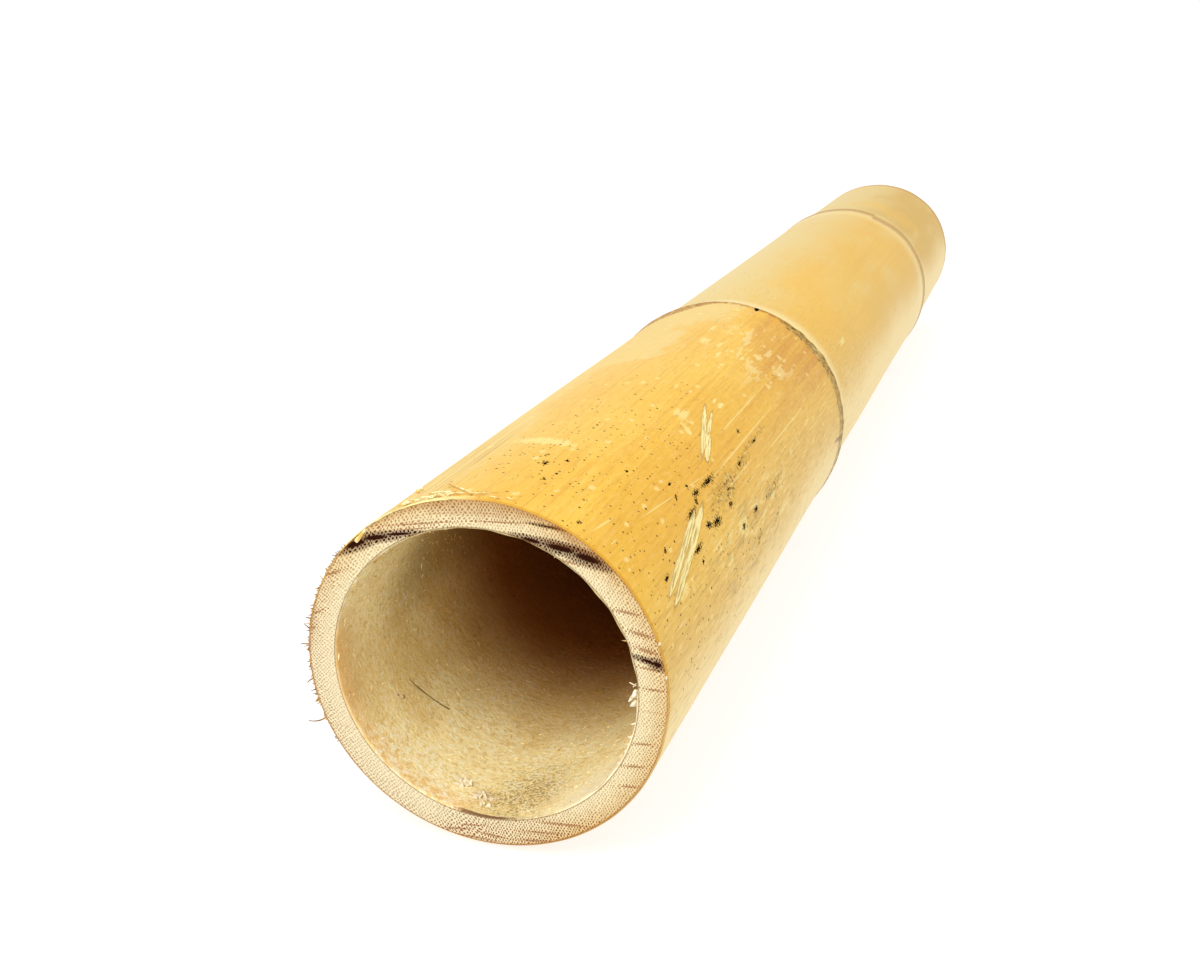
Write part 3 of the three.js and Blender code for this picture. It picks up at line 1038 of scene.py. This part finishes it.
BLACK_STAINS = face_strokes([
    (-37, 27, -25, 32.2, 3.2), (-32, 30.4, -19, 33.4, 2.4), (-26, 32.4, -13, 34.7, 1.5),
    (20, 35, 33, 32.2, 3.4), (13, 36.1, 27, 34.2, 2.9), (8.5, 36.8, 18, 35.5, 1.9),
    (13, 40.2, 22.4, 39.5, 0.8), (36.8, 11.8, 44.2, 10, 1.5), (40.4, 11.1, 44.6, 9.8, 2.6),
])
BROWN_STAINS = face_strokes([
    (13, 36.9, 29.5, 34.6, 1.5), (-3, 38.9, 15, 40.2, 0.6), (-27, 34.4, -2, 38.9, 0.6),
    (-22, 34, -9, 36.6, 0.6), (18, 32.6, 26, 31.6, 0.7), (31.5, 22.4, 39.6, 21.6, 1),
    (35, 17.8, 42.6, 16.6, 1.3), (36.4, 14.1, 44.2, 12.6, 1.5), (37.6, 9.3, 44.2, 8.8, 0.7),
    (38.8, 4.1, 44.6, 4.1, 0.8), (36.2, -10.4, 42.6, -9.6, 0.7), (33.6, -16.6, 41.2, -15.7, 0.9),
    (33.2, -22.1, 39.5, -21.2, 0.7), (11, -36.1, 28.6, -34.2, 0.9), (-4.5, -41.8, 8, -42.2, 0.9),
    (6, -42.3, 19, -40, 0.9), (17.5, -40.4, 26, -36.8, 0.9), (7, -39.5, 22, -37.5, 0.8),
    (-13.5, -42.8, -2, -41.2, 0.8), (-9, -41, 1, -39.6, 0.7), (-12, -43.6, 6, -43.4, 0.7),
    (-40.2, 20, -34, 23, 0.9), (-44.2, 9.8, -40, 11.6, 0.8), (-44.6, 5.8, -42.6, 6.9, 0.9),
])
OUTER_BROWN = face_strokes([(-22, 41.0, 20, 42.4, 4.0), (-46, -3, -42, 22, 3.0), (14, 44, 36, 27, 2.0)])
STAIN_BLACK = tone(44, 16, 6)
STAIN_BROWN = tone(140, 84, 40)
STAIN_DARK = tone(96, 50, 22)
INNER_EDGE_SHADE = tone(112, 74, 32)
SAW_RELIEF = 0.1 * MM
grainy = (0.5 - dots) * 1.7 + cloud.sway(0.5)
black_reach = face.nearest(BLACK_STAINS) + tip_side
brown_reach = face.nearest(BROWN_STAINS) + tip_side
colour = (face.nearest(OUTER_BROWN).fade(1.3, 0.3) * (0.25 + dots * 0.3)).mix(colour, STAIN_BROWN)
colour = ((brown_reach + grainy * 0.7).fade(1.55, 0.85) * 0.7).mix(colour, STAIN_BROWN)
colour = (black_reach.fade(1.6, 0.8) * 0.6).mix(colour, STAIN_DARK)
dotted_black = black_reach.fade(1.45, 0.95) * dots.fade(0.05, 0.4)
black_core = (black_reach + (0.5 - dots) * 0.7).fade(1.0, 0.65)
colour = dotted_black.most(black_core).mix(colour, STAIN_BLACK)
top_band = depth.fade(5.0, 6.4) * upward.fade(30, 38)
colour = (depth.fade(6.3, 6.85) * 0.75).most(top_band * (0.25 + cloud * 0.3)).mix(colour, EDGE_ORANGE)
# Painted shade: a thin brown ring along the inner edge of the cut, next to the dark bore.
colour = (depth.fade(0.45, 0.05) * 0.7).mix(colour, INNER_EDGE_SHADE)
saw_lines = level.noise((0.08, 2.2, 1))
height = saw_lines * 0.5 - dots * 0.5
close_finish(wire, {
    "Base Color": colour,
    "Roughness": 0.8 - towards_skin * 0.1,
    "Specular IOR Level": 0.02,
    "Normal": bump(wire, height, SAW_RELIEF),
})

# %% [markdown]
# The bore is lined with a dry felt of pith, tan near the mouth, with saw dust on it, an orange band inside
# the lower left rim and a grey-green patch of mould below. Painted shade makes the felt browner further in,
# under the top of the bore and on the left wall. Distances are in millimetres from the butt, and turns from
# the underside.

# %% Lining finish: felt, and painted shade inward and under the top of the bore
lining_finish, wire, place = start_finish("bore_lining")
flat, inward, from_below = unrolled_place(wire)
felt = place.noise(750.0, 3.0, 0.7)
clumps = place.noise(300.0, 3.0, 0.6)
clouds = place.noise(45.0, 3.0, 0.55)

FELT = tone(250, 230, 168)
ROOF_SHADE_BROWN = tone(112, 76, 22)
FELT_DARK = tone(182, 134, 62)
SHADE_TAN = tone(206, 148, 62)
FELT_PALE = tone(253, 246, 214)
FELT_DULL = tone(222, 184, 108)
DEEP_SHADE_BROWN = tone(156, 84, 16)
ORANGE_BAND = tone(238, 184, 110)
RIM_BROWN = tone(190, 138, 78)
MOULD_GREY = tone(142, 122, 76)


def painted_depth_shade(colour, distance):
    """Painted shade: a brown that deepens with the distance from the mouth."""
    colour = (distance.fade(30, 70) * 0.4).mix(colour, SHADE_TAN)
    return (distance.fade(50, 100) * 0.9).mix(colour, DEEP_SHADE_BROWN)


colour = (felt.fade(0.5, 0.62) * 0.75).mix(FELT, FELT_PALE)
colour = (felt.fade(0.44, 0.34) * 0.35).mix(colour, FELT_DARK)
colour = (clumps.fade(0.52, 0.7) * 0.35).mix(colour, FELT_DULL)
colour = (clouds.fade(0.42, 0.62) * 0.4).mix(colour, FELT_DULL)
mouth_inward = inward.least(LENGTH / MM - inward)
# Painted shade: the felt darkens and browns with the distance from the mouth.
colour = painted_depth_shade(colour, mouth_inward)
# Painted shade: the top of the bore from the mouth inward, and the left wall further in, are darkened.
painted_roof_shade = abs(from_below).fade(96, 150) * mouth_inward.fade(-8, 14)
left_wall_shade = from_below.within(-178, -150, -100, -72) * mouth_inward.fade(14, 46)
colour = (painted_roof_shade * 0.38).most(left_wall_shade * 0.5).mix(colour, ROOF_SHADE_BROWN)
tell(wire, "felt")

# %% [markdown]
# Close to the mouth the lining has marks of its own: the band, frost and mould, two dark spots,
# white dust on the right, and a thin dark crack at the bottom of the rim.

# %% Lining finish: marks near the mouth
SPOT_RED = tone(140, 74, 30)
DUST_WHITE = tone(248, 240, 214)
RIM_SHADE = tone(110, 70, 30)
CRACK_RED = tone(92, 44, 30)
FELT_RELIEF = 0.55 * MM


def from_underside(turn_deg):
    """Degrees round the bore from its underside, for a turn from +X towards +Z."""
    return (turn_deg + 270) % 360 - 180


def bore_strokes(rows):
    """Strokes in the bore from rows of (mm in, degrees from +X) twice and a width in mm."""
    flat_rows = [(a, from_underside(t), b, from_underside(u), w) for a, t, b, u, w in rows]
    return skin_strokes(flat_rows)


band_reach = inward + clumps.sway(6.0) + felt.sway(3.0)
band = band_reach.fade(7.0, 2.0) * from_below.within(-112, -88, -14, 0)
left_brown = band_reach.fade(16.0, 4.0) * from_below.within(-125, -95, -75, -50)
frost = inward.fade(20, 8) * from_below.within(-62, -48, -15, -5) * felt.fade(0.42, 0.6)
colour = (left_brown * 0.28).mix(colour, RIM_BROWN)
colour = (band * 0.45).mix(colour, ORANGE_BAND)
colour = (frost * 0.6).mix(colour, FELT_PALE)
MOULD_STROKES = bore_strokes([(25, -72, -2, -85, 24), (13, -93, 2, -88, 12)])
grit = place.noise(1500.0, 2.0, 0.6)
mould_patch = flat.nearest(MOULD_STROKES) + clumps.sway(1.6)
mouldy = mould_patch.fade(1.4, 0.2) * (0.14 + grit.fade(0.52, 0.42) * 0.66)
colour = mouldy.mix(colour, MOULD_GREY)
DARK_SPOTS = bore_strokes([(22, -147, 21, -145, 1.5), (20.4, -148.5, 19.4, -148.3, 0.9)])
spotted = (flat.nearest(DARK_SPOTS) + felt.sway(2.0)).fade(1.1, 0.7)
colour = (spotted * 0.7).mix(colour, SPOT_RED)
white_zone = (inward + felt.sway(14.0) + clumps.sway(10.0)).fade(24.0, 2.0)
white_zone = white_zone * from_below.within(14, 44, 80, 98)
colour = (white_zone * 0.55).mix(colour, DUST_WHITE)
# Painted shade: a thin dark line just inside the rim of the bore.
rim_shade_line = inward.fade(0.9, 0.3) * (1 - white_zone) * (1 - band) * clumps.fade(0.3, 0.5)
colour = (rim_shade_line * 0.4).mix(colour, RIM_SHADE)
CRACK = bore_strokes([(0.3, -102, 0.3, -78, 1.2)])
crack = (flat.nearest(CRACK) + felt.sway(0.8)).fade(1.2, 0.6)
colour = (crack * 0.8).mix(colour, CRACK_RED)
height = felt * 0.7 + clumps * 0.6
close_finish(wire, {
    "Base Color": colour,
    "Roughness": 0.9,
    "Specular IOR Level": 0.01,
    "Normal": bump(wire, height, FELT_RELIEF),
})

# %% [markdown]
# With points, quads, maps and finishes ready, the tube becomes one mesh. It takes the place of
# the packed solid, rides on the one body, and sits at the origin with its place in its points.

# %% Make the tube
TUBE_FINISHES = [skin_finish, saw_finish, lining_finish]
# Which of the finishes each stretch has, in the order of the stretches
FINISH_OF_STRETCH = np.array([0, 1, 2, 2, 2, 2, 2, 1])


def add_piece(name, shape, finishes, smooth=True):
    """A mesh object from points and faces, which rides on the body."""
    vertices, faces = shape
    mesh = bpy.data.meshes.new(name)
    mesh.from_pydata(vertices.reshape(-1, 3).tolist(), [], faces.tolist())
    for finish in finishes:
        mesh.materials.append(finish)
    mesh.polygons.foreach_set("use_smooth", np.full(len(faces), smooth))
    piece = bpy.data.objects.new(name, mesh)
    bpy.context.scene.collection.objects.link(piece)
    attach(piece, "root")
    print(name, "has", sum(len(polygon.vertices) - 2 for polygon in mesh.polygons), "triangles")
    return piece


tube = add_piece("cane_tube", (points, quads), TUBE_FINISHES)
tube.data.polygons.foreach_set("material_index", np.repeat(FINISH_OF_STRETCH[row_stretch], columns))
for map_name, corners in (("Unrolled", unrolled_uv), ("OFBake", bake_uv)):
    tube.data.uv_layers.new(name=map_name).data.foreach_set("uv", corners.ravel())
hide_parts("culm")

# %% [markdown]
# The saw left loose fibres: bristles round the outer rim, curled shavings on the top of the rim,
# torn white pith inside, a splinter at the stain and one dark sliver in the bore. Hair would not
# export as a mesh, so each fibre is a thin diamond section carried along a short path, and all of
# one kind are made in one go from arrays of paths. Their finishes go between two tones.

# %% Fibres from arrays of paths
FIBRE_STEPS = 6
LENGTHWAYS = np.array([0.0, 1.0, 0.0])


def unit(vectors):
    """Vectors divided by their lengths."""
    return vectors / np.linalg.norm(vectors, axis=-1, keepdims=True)


def ribbons(paths, side, width, thickness):
    """A diamond carried along each path: centre + side w/2, + face t/2, - side w/2, - face t/2,
    where face is the tangent crossed with the side. Both ends are closed."""
    tangent = unit(np.gradient(paths, axis=1))
    face_way = unit(np.cross(tangent, side))
    side_way = unit(np.cross(face_way, tangent))
    half_side = side_way * width[..., None] / 2
    half_face = face_way * thickness[..., None] / 2
    ring = np.stack([paths + half_side, paths + half_face, paths - half_side, paths - half_face], axis=2)
    index = np.arange(ring[..., 0].size).reshape(ring.shape[:3])
    low, high = index[:, :-1], index[:, 1:]
    walls = np.stack([low, np.roll(low, -1, 2), np.roll(high, -1, 2), high], axis=-1)
    return ring, np.concatenate([walls.reshape(-1, 4), index[:, 0, ::-1], index[:, -1]])


def curled_paths(base, heading, lift, length):
    """base + heading l x + lift l x^2 for x from 0 to 1: straight at the root, bent at the end."""
    x = np.linspace(0, 1, FIBRE_STEPS)[None, :, None]
    reach = length[:, None, None] * x
    return base[:, None] + heading[:, None] * reach + lift[:, None] * reach * x


def thinning(count, steps, at_root, at_end):
    """A size that goes evenly from root to end, for every fibre."""
    return np.repeat(np.linspace(at_root, at_end, steps)[None], count, axis=0)


def outward(turn):
    """Direction away from the middle line."""
    return np.stack([np.cos(turn), 0 * turn, np.sin(turn)], axis=-1)


def sideways(turn):
    """Direction round the cane."""
    return np.stack([-np.sin(turn), 0 * turn, np.cos(turn)], axis=-1)


def two_tones(tint, spread, dark, light):
    """From a dark to a light colour as noise goes from below to above its middle by a spread."""
    return tint.fade(0.5 - spread, 0.5 + spread).mix(dark, light)


def fibre_finish(name, scale, spread, dark, light):
    """A half glossy finish of two tones."""
    material, wire, place = start_finish(name)
    colour = two_tones(place.noise(scale), spread, dark, light)
    close_finish(wire, {"Base Color": colour, "Roughness": 0.6, "Specular IOR Level": 0.3})
    return material


print("steps along a fibre:", FIBRE_STEPS)

# %% [markdown]
# Most bristles are short and scattered over the left of the rim. Six longer ones are named by
# their turn, their heading and their length.

# %% Bristles round the outer rim
bristle_finish = fibre_finish("loose_fibre", 400.0, 0.15, tone(118, 82, 22), tone(176, 134, 58))
BRISTLES = 110
NAMED_THICKER = 1.5
ROOT_SINK = 0.15 * MM
ROOT_WIDTH = 0.34 * MM
END_WIDTH = 0.16 * MM
NAMED_BRISTLES = np.array([
    (202.7, 222, 5.7), (189, 204, 2), (177, 194, 2.4), (171.6, 150, 1.8), (196, 215, 1.3),
    (168, 178, 1.4),
])
named_turn, named_heading = np.radians(NAMED_BRISTLES[:, :2]).T
scattered = BRISTLES - len(NAMED_BRISTLES)
scatter_turn = np.radians(draw.uniform(138, 212, scattered))
scatter_way = (
    outward(scatter_turn)
    + sideways(scatter_turn) * draw.normal(0, 0.7, (scattered, 1))
    - LENGTHWAYS * draw.uniform(-0.1, 0.5, (scattered, 1))
)
bristle_turn = np.concatenate([scatter_turn, named_turn])
bristle_way = unit(np.concatenate([scatter_way, outward(named_heading)]))
scatter_length = draw.gamma(2.0, 0.25, scattered).clip(0.25, 1.3)
bristle_length = np.concatenate([scatter_length, NAMED_BRISTLES[:, 2]]) * MM
bristle_root = on_tube(np.full(BRISTLES, ROOT_SINK), bristle_turn, skin_run[0, 1] - ROOT_SINK)
bristle_bend = sideways(bristle_turn) * draw.normal(0, 0.2, (BRISTLES, 1))
bristle_paths = curled_paths(bristle_root, bristle_way, bristle_bend, bristle_length)
bristle_side = np.repeat(LENGTHWAYS[None, None], FIBRE_STEPS, axis=1)
bristle_width = thinning(BRISTLES, FIBRE_STEPS, ROOT_WIDTH, END_WIDTH)
bristle_width[scattered:] *= NAMED_THICKER
bristle_shape = ribbons(bristle_paths, bristle_side, bristle_width, 0.88 * bristle_width)
add_piece("rim_bristles", bristle_shape, [bristle_finish])

# %% [markdown]
# Shavings curl from one place on the skin over a lifted middle to another. Six are named, and
# smaller ones are scattered over the frayed top of the rim.

# %% Shavings on the top of the rim
SHAVING_ROWS = np.array([
    (12.3, 106.4, 4.2, 97.8, 2.4, 92.6, 0.55), (2.7, 95, 0.9, 90.6, 4.9, 86.4, 0.6),
    (5.6, 109, 3, 102.5, 3.6, 96.4, 0.6), (3.6, 82.9, 0.2, 81.6, 3.4, 80.2, 0.4),
    (11.4, 116.9, 12.2, 116.2, 12.8, 115.2, 1.1), (1.6, 88, 0.6, 86, 1.4, 84, 0.4),
])
FRAYED = 22
frayed_along = draw.uniform(0.3, 2.6, FRAYED)
frayed_turn = draw.uniform(97, 127, FRAYED)
frayed_shift = draw.normal(0, 1, (4, FRAYED))
frayed_rows = np.stack([
    frayed_along,
    frayed_turn,
    frayed_along + frayed_shift[0],
    frayed_turn - 1.6 + 0.8 * frayed_shift[1],
    frayed_along + frayed_shift[2],
    frayed_turn - 3.2 + 1.2 * frayed_shift[3],
    draw.uniform(0.35, 0.7, FRAYED),
], axis=1)
shaving_rows = np.concatenate([SHAVING_ROWS, frayed_rows])
SHAVING_STEPS = 9
SHAVING_LIFT = 0.9


def skin_curves(rows, lift):
    """(1 - x)^2 a + 2 x (1 - x) b + x^2 c between three places on the skin, the middle one lifted."""
    x = np.linspace(0, 1, SHAVING_STEPS)[None, :, None]
    distances = np.maximum(rows[:, 0:6:2], 0.1) * MM
    raised = skin_run[0, 1] + np.array([0.15, 0.15 + lift, 0.25]) * MM
    a, b, c = np.moveaxis(on_tube(distances, np.radians(rows[:, 1:6:2]), raised), 1, 0)[:, :, None]
    return (1 - x) ** 2 * a + 2 * x * (1 - x) * b + x ** 2 * c


shaving_out = outward(np.radians(shaving_rows[:, 1]))[:, None]
shaving_side = np.cross(np.array([[[0.2, 1.0, 0.1]]]), shaving_out) + 0.8 * LENGTHWAYS
shaving_profile = np.array([0.5, 0.8, 1, 1, 0.9, 1, 0.9, 0.7, 0.35]) * MM
shaving_width = shaving_rows[:, 6, None] * shaving_profile
shaving_paths = skin_curves(shaving_rows, SHAVING_LIFT)
shaving_shape = ribbons(shaving_paths, shaving_side, shaving_width, 0.5 * shaving_width)
shaving_finish = fibre_finish("pale_shaving", 500.0, 0.1, tone(230, 186, 92), tone(252, 238, 184))
add_piece("rim_shavings", shaving_shape, [shaving_finish])

# %% [markdown]
# Torn pith hangs over the inner rim on the right. Each row has the two ends of a shred on the
# cut, its width, and how far inside it hangs, all in millimetres.

# %% Torn pith inside the rim
pith_finish, wire, place = start_finish("torn_pith")
colour = two_tones(place.noise(900.0, 2.0, 0.6), 0.2, tone(226, 204, 156), tone(250, 244, 226))
close_finish(wire, {"Base Color": colour, "Roughness": 0.85, "Specular IOR Level": 0.15})
PITH_ROWS = np.array([
    (37.5, 3.2, 36.6, -0.4, 1.1, 0.6), (37.6, 1.4, 36.3, 0.2, 1.2, 1),
    (37.6, 0.6, 36.6, -1.2, 1.1, 0.5), (37.7, -0.4, 36.9, -2.2, 0.9, 1.4),
    (37.5, 2.4, 36.9, 0.8, 1, 0.3), (37.6, 4.2, 35.9, 4.9, 0.45, 0.4),
    (37.5, 4.6, 36.5, 3.7, 0.4, 0.8), (37.4, -5.2, 36.6, -6.2, 0.6, 0.5),
    (36.9, -9, 36, -9.8, 0.7, 0.8), (36.4, -10.6, 35.2, -11.4, 0.6, 0.5),
    (35.8, -12.4, 34.8, -13.2, 0.7, 0.6), (34.2, -16, 33, -17.2, 0.6, 0.9),
    (43.2, 16.1, 43, 15.2, 0.6, -0.2), (44.8, 8.1, 44.5, 7.3, 0.5, -0.2),
])


def on_cut(x_mm, z_mm, inside_mm):
    """A place on the butt cut, a little inside the bore or, below 0, in front of it."""
    return np.stack([x_mm, inside_mm - LENGTH / MM / 2, z_mm + axis_height(0) / MM], axis=-1) * MM


start_x, start_z, end_x, end_z, pith_widest, pith_inside = PITH_ROWS.T
pith_start = on_cut(start_x, start_z, pith_inside)
pith_end = on_cut(end_x, end_z, pith_inside)
pith_reach = np.linalg.norm(pith_end - pith_start, axis=1)
pith_way = unit(pith_end - pith_start)
pith_bend = np.cross(pith_way, LENGTHWAYS) * draw.normal(0, 0.3, (len(PITH_ROWS), 1))
pith_paths = curled_paths(pith_start, pith_way, pith_bend, pith_reach)
pith_width = pith_widest[:, None] * np.array([0.6, 1.0, 0.8, 1.0, 0.7, 0.3]) * MM
pith_side = np.cross(pith_way, LENGTHWAYS)[:, None] + 0.3 * LENGTHWAYS
add_piece("torn_pith", ribbons(pith_paths, pith_side, pith_width, pith_width * 0.4), [pith_finish])

# %% [markdown]
# Two single pieces are left: a pale splinter that stands in the stain at the upper left, and a
# dark sliver that lies low on the left of the bore.

# %% The splinter at the stain and the sliver in the bore
SPLINTER_LOW = on_cut(-30.5, 30.3, -0.25)
SPLINTER_HIGH = on_cut(-27.8, 33.7, -0.1)
splinter_path = np.linspace(SPLINTER_LOW, SPLINTER_HIGH, 5)[None]
splinter_side = np.array([[[1.0, 0.0, -0.55]]])
splinter_width = np.array([[0.9, 1.0, 0.8, 0.6, 0.3]]) * MM
splinter_thickness = np.array([[0.3, 0.5, 0.6, 0.5, 0.3]]) * MM
splinter_shape = ribbons(splinter_path, splinter_side, splinter_width, splinter_thickness)
add_piece("pale_splinter", splinter_shape, [shaving_finish], smooth=False)

SLIVER_STEPS = 9
SLIVER_RAISED = 0.1 * MM
sliver_along = np.linspace(27.3, 32.5, SLIVER_STEPS) * MM
sliver_turn = np.radians(np.linspace(-150, -129.4, SLIVER_STEPS))
sliver_path = on_tube(sliver_along, sliver_turn, bore_radius(sliver_along, 0) - SLIVER_RAISED)[None]
sliver_side = np.repeat(LENGTHWAYS[None, None], SLIVER_STEPS, axis=1)
sliver_width = thinning(1, SLIVER_STEPS, 0.3 * MM, 0.42 * MM)
sliver_thickness = thinning(1, SLIVER_STEPS, 0.3 * MM, 0.36 * MM)
sliver_finish = fibre_finish("dark_sliver", 300.0, 0.15, tone(96, 74, 22), tone(142, 112, 44))
add_piece("dark_sliver", ribbons(sliver_path, sliver_side, sliver_width, sliver_thickness), [sliver_finish])

# %% [markdown]
# Saw dust clings to the lining. Each grain of it is a spindle with three sides, thousands of them, made as
# one mesh. They lie nearly flat and are sunk a little into the wall. They take the same painted shade
# inwards as the felt does.

# %% Saw dust on the lining
DUST = 6000
DUST_FROM = 0.6
DUST_TO = 135
dust_along = draw.uniform(DUST_FROM, DUST_TO, DUST) * MM
dust_turn = draw.uniform(0, 2 * np.pi, DUST)
dust_heading = draw.uniform(0, 2 * np.pi, DUST)
dust_raised = draw.uniform(0.0, 0.16, DUST) * MM
dust_middle = on_tube(dust_along, dust_turn, bore_radius(dust_along, 0) - dust_raised)
dust_way = unit(
    LENGTHWAYS * np.cos(dust_heading)[:, None]
    + sideways(dust_turn) * np.sin(dust_heading)[:, None]
    + outward(dust_turn) * draw.normal(0, 0.28, (DUST, 1))
)
dust_half = draw.gamma(3.0, 0.2, DUST).clip(0.25, 1.4)[:, None] * MM
dust_thick = draw.uniform(0.12, 0.24, DUST)[:, None, None] * MM


def spindles(middle, way, half_length, half_thick):
    """Three points round the middle at 120 degrees, and a tip each way along the heading."""
    first = unit(np.cross(way, np.array([0.31, 0.17, 0.93])))
    second = np.cross(way, first)
    angle = np.radians([0, 120, 240])[None, :, None]
    round_way = first[:, None] * np.cos(angle) + second[:, None] * np.sin(angle)
    ring = middle[:, None] + half_thick * round_way
    tips = np.stack([middle + way * half_length, middle - way * half_length], axis=1)
    grains = np.concatenate([ring, tips], axis=1)
    pattern = np.array([[0, 1, 3], [1, 2, 3], [2, 0, 3], [1, 0, 4], [2, 1, 4], [0, 2, 4]])
    faces = (np.arange(len(middle))[:, None, None] * 5 + pattern).reshape(-1, 3)
    return grains, faces


dust_finish, wire, place = start_finish("saw_dust")
_, place_y, _ = place.split()
colour = two_tones(place.noise(260.0, 2.0, 0.6), 0.15, tone(222, 186, 112), tone(252, 240, 196))
dust_inward = (place_y + LENGTH / 2) * (1 / MM)
# Painted shade inwards, as on the felt.
colour = painted_depth_shade(colour, dust_inward)
close_finish(wire, {"Base Color": colour, "Roughness": 0.85, "Specular IOR Level": 0.01})
dust_shape = spindles(dust_middle, dust_way, dust_half, dust_thick)
add_piece("saw_dust", dust_shape, [dust_finish], smooth=False)

# %% [markdown]
# Two small heaps of larger crumbs lie on the lining near the mouth. They are spindles too, but
# short and thick, and turned every way.

# %% Crumbs of pith
FAR_HEAP = 14
NEAR_HEAP = 12
CRUMBS = FAR_HEAP + NEAR_HEAP
crumb_along = np.append(draw.normal(10.0, 1.0, FAR_HEAP), draw.normal(6.2, 1.1, NEAR_HEAP)) * MM
crumb_degrees = np.append(draw.normal(-104.5, 1.7, FAR_HEAP), draw.normal(-95.0, 1.6, NEAR_HEAP))
crumb_turn = np.radians(crumb_degrees)
crumb_raised = draw.uniform(0.0, 0.6, CRUMBS) * MM
crumb_middle = on_tube(crumb_along, crumb_turn, bore_radius(crumb_along, 0) - crumb_raised)
crumb_way = unit(draw.normal(0, 1, (CRUMBS, 3)))
crumb_half = draw.uniform(0.7, 1.5, CRUMBS)[:, None] * MM
crumb_thick = draw.uniform(0.5, 1.0, CRUMBS)[:, None, None] * MM
crumb_shape = spindles(crumb_middle, crumb_way, crumb_half, crumb_thick)
add_piece("pith_crumbs", crumb_shape, [pith_finish], smooth=False)

# %% [markdown]
# The model may stand only a few millimetres proud of the solid.
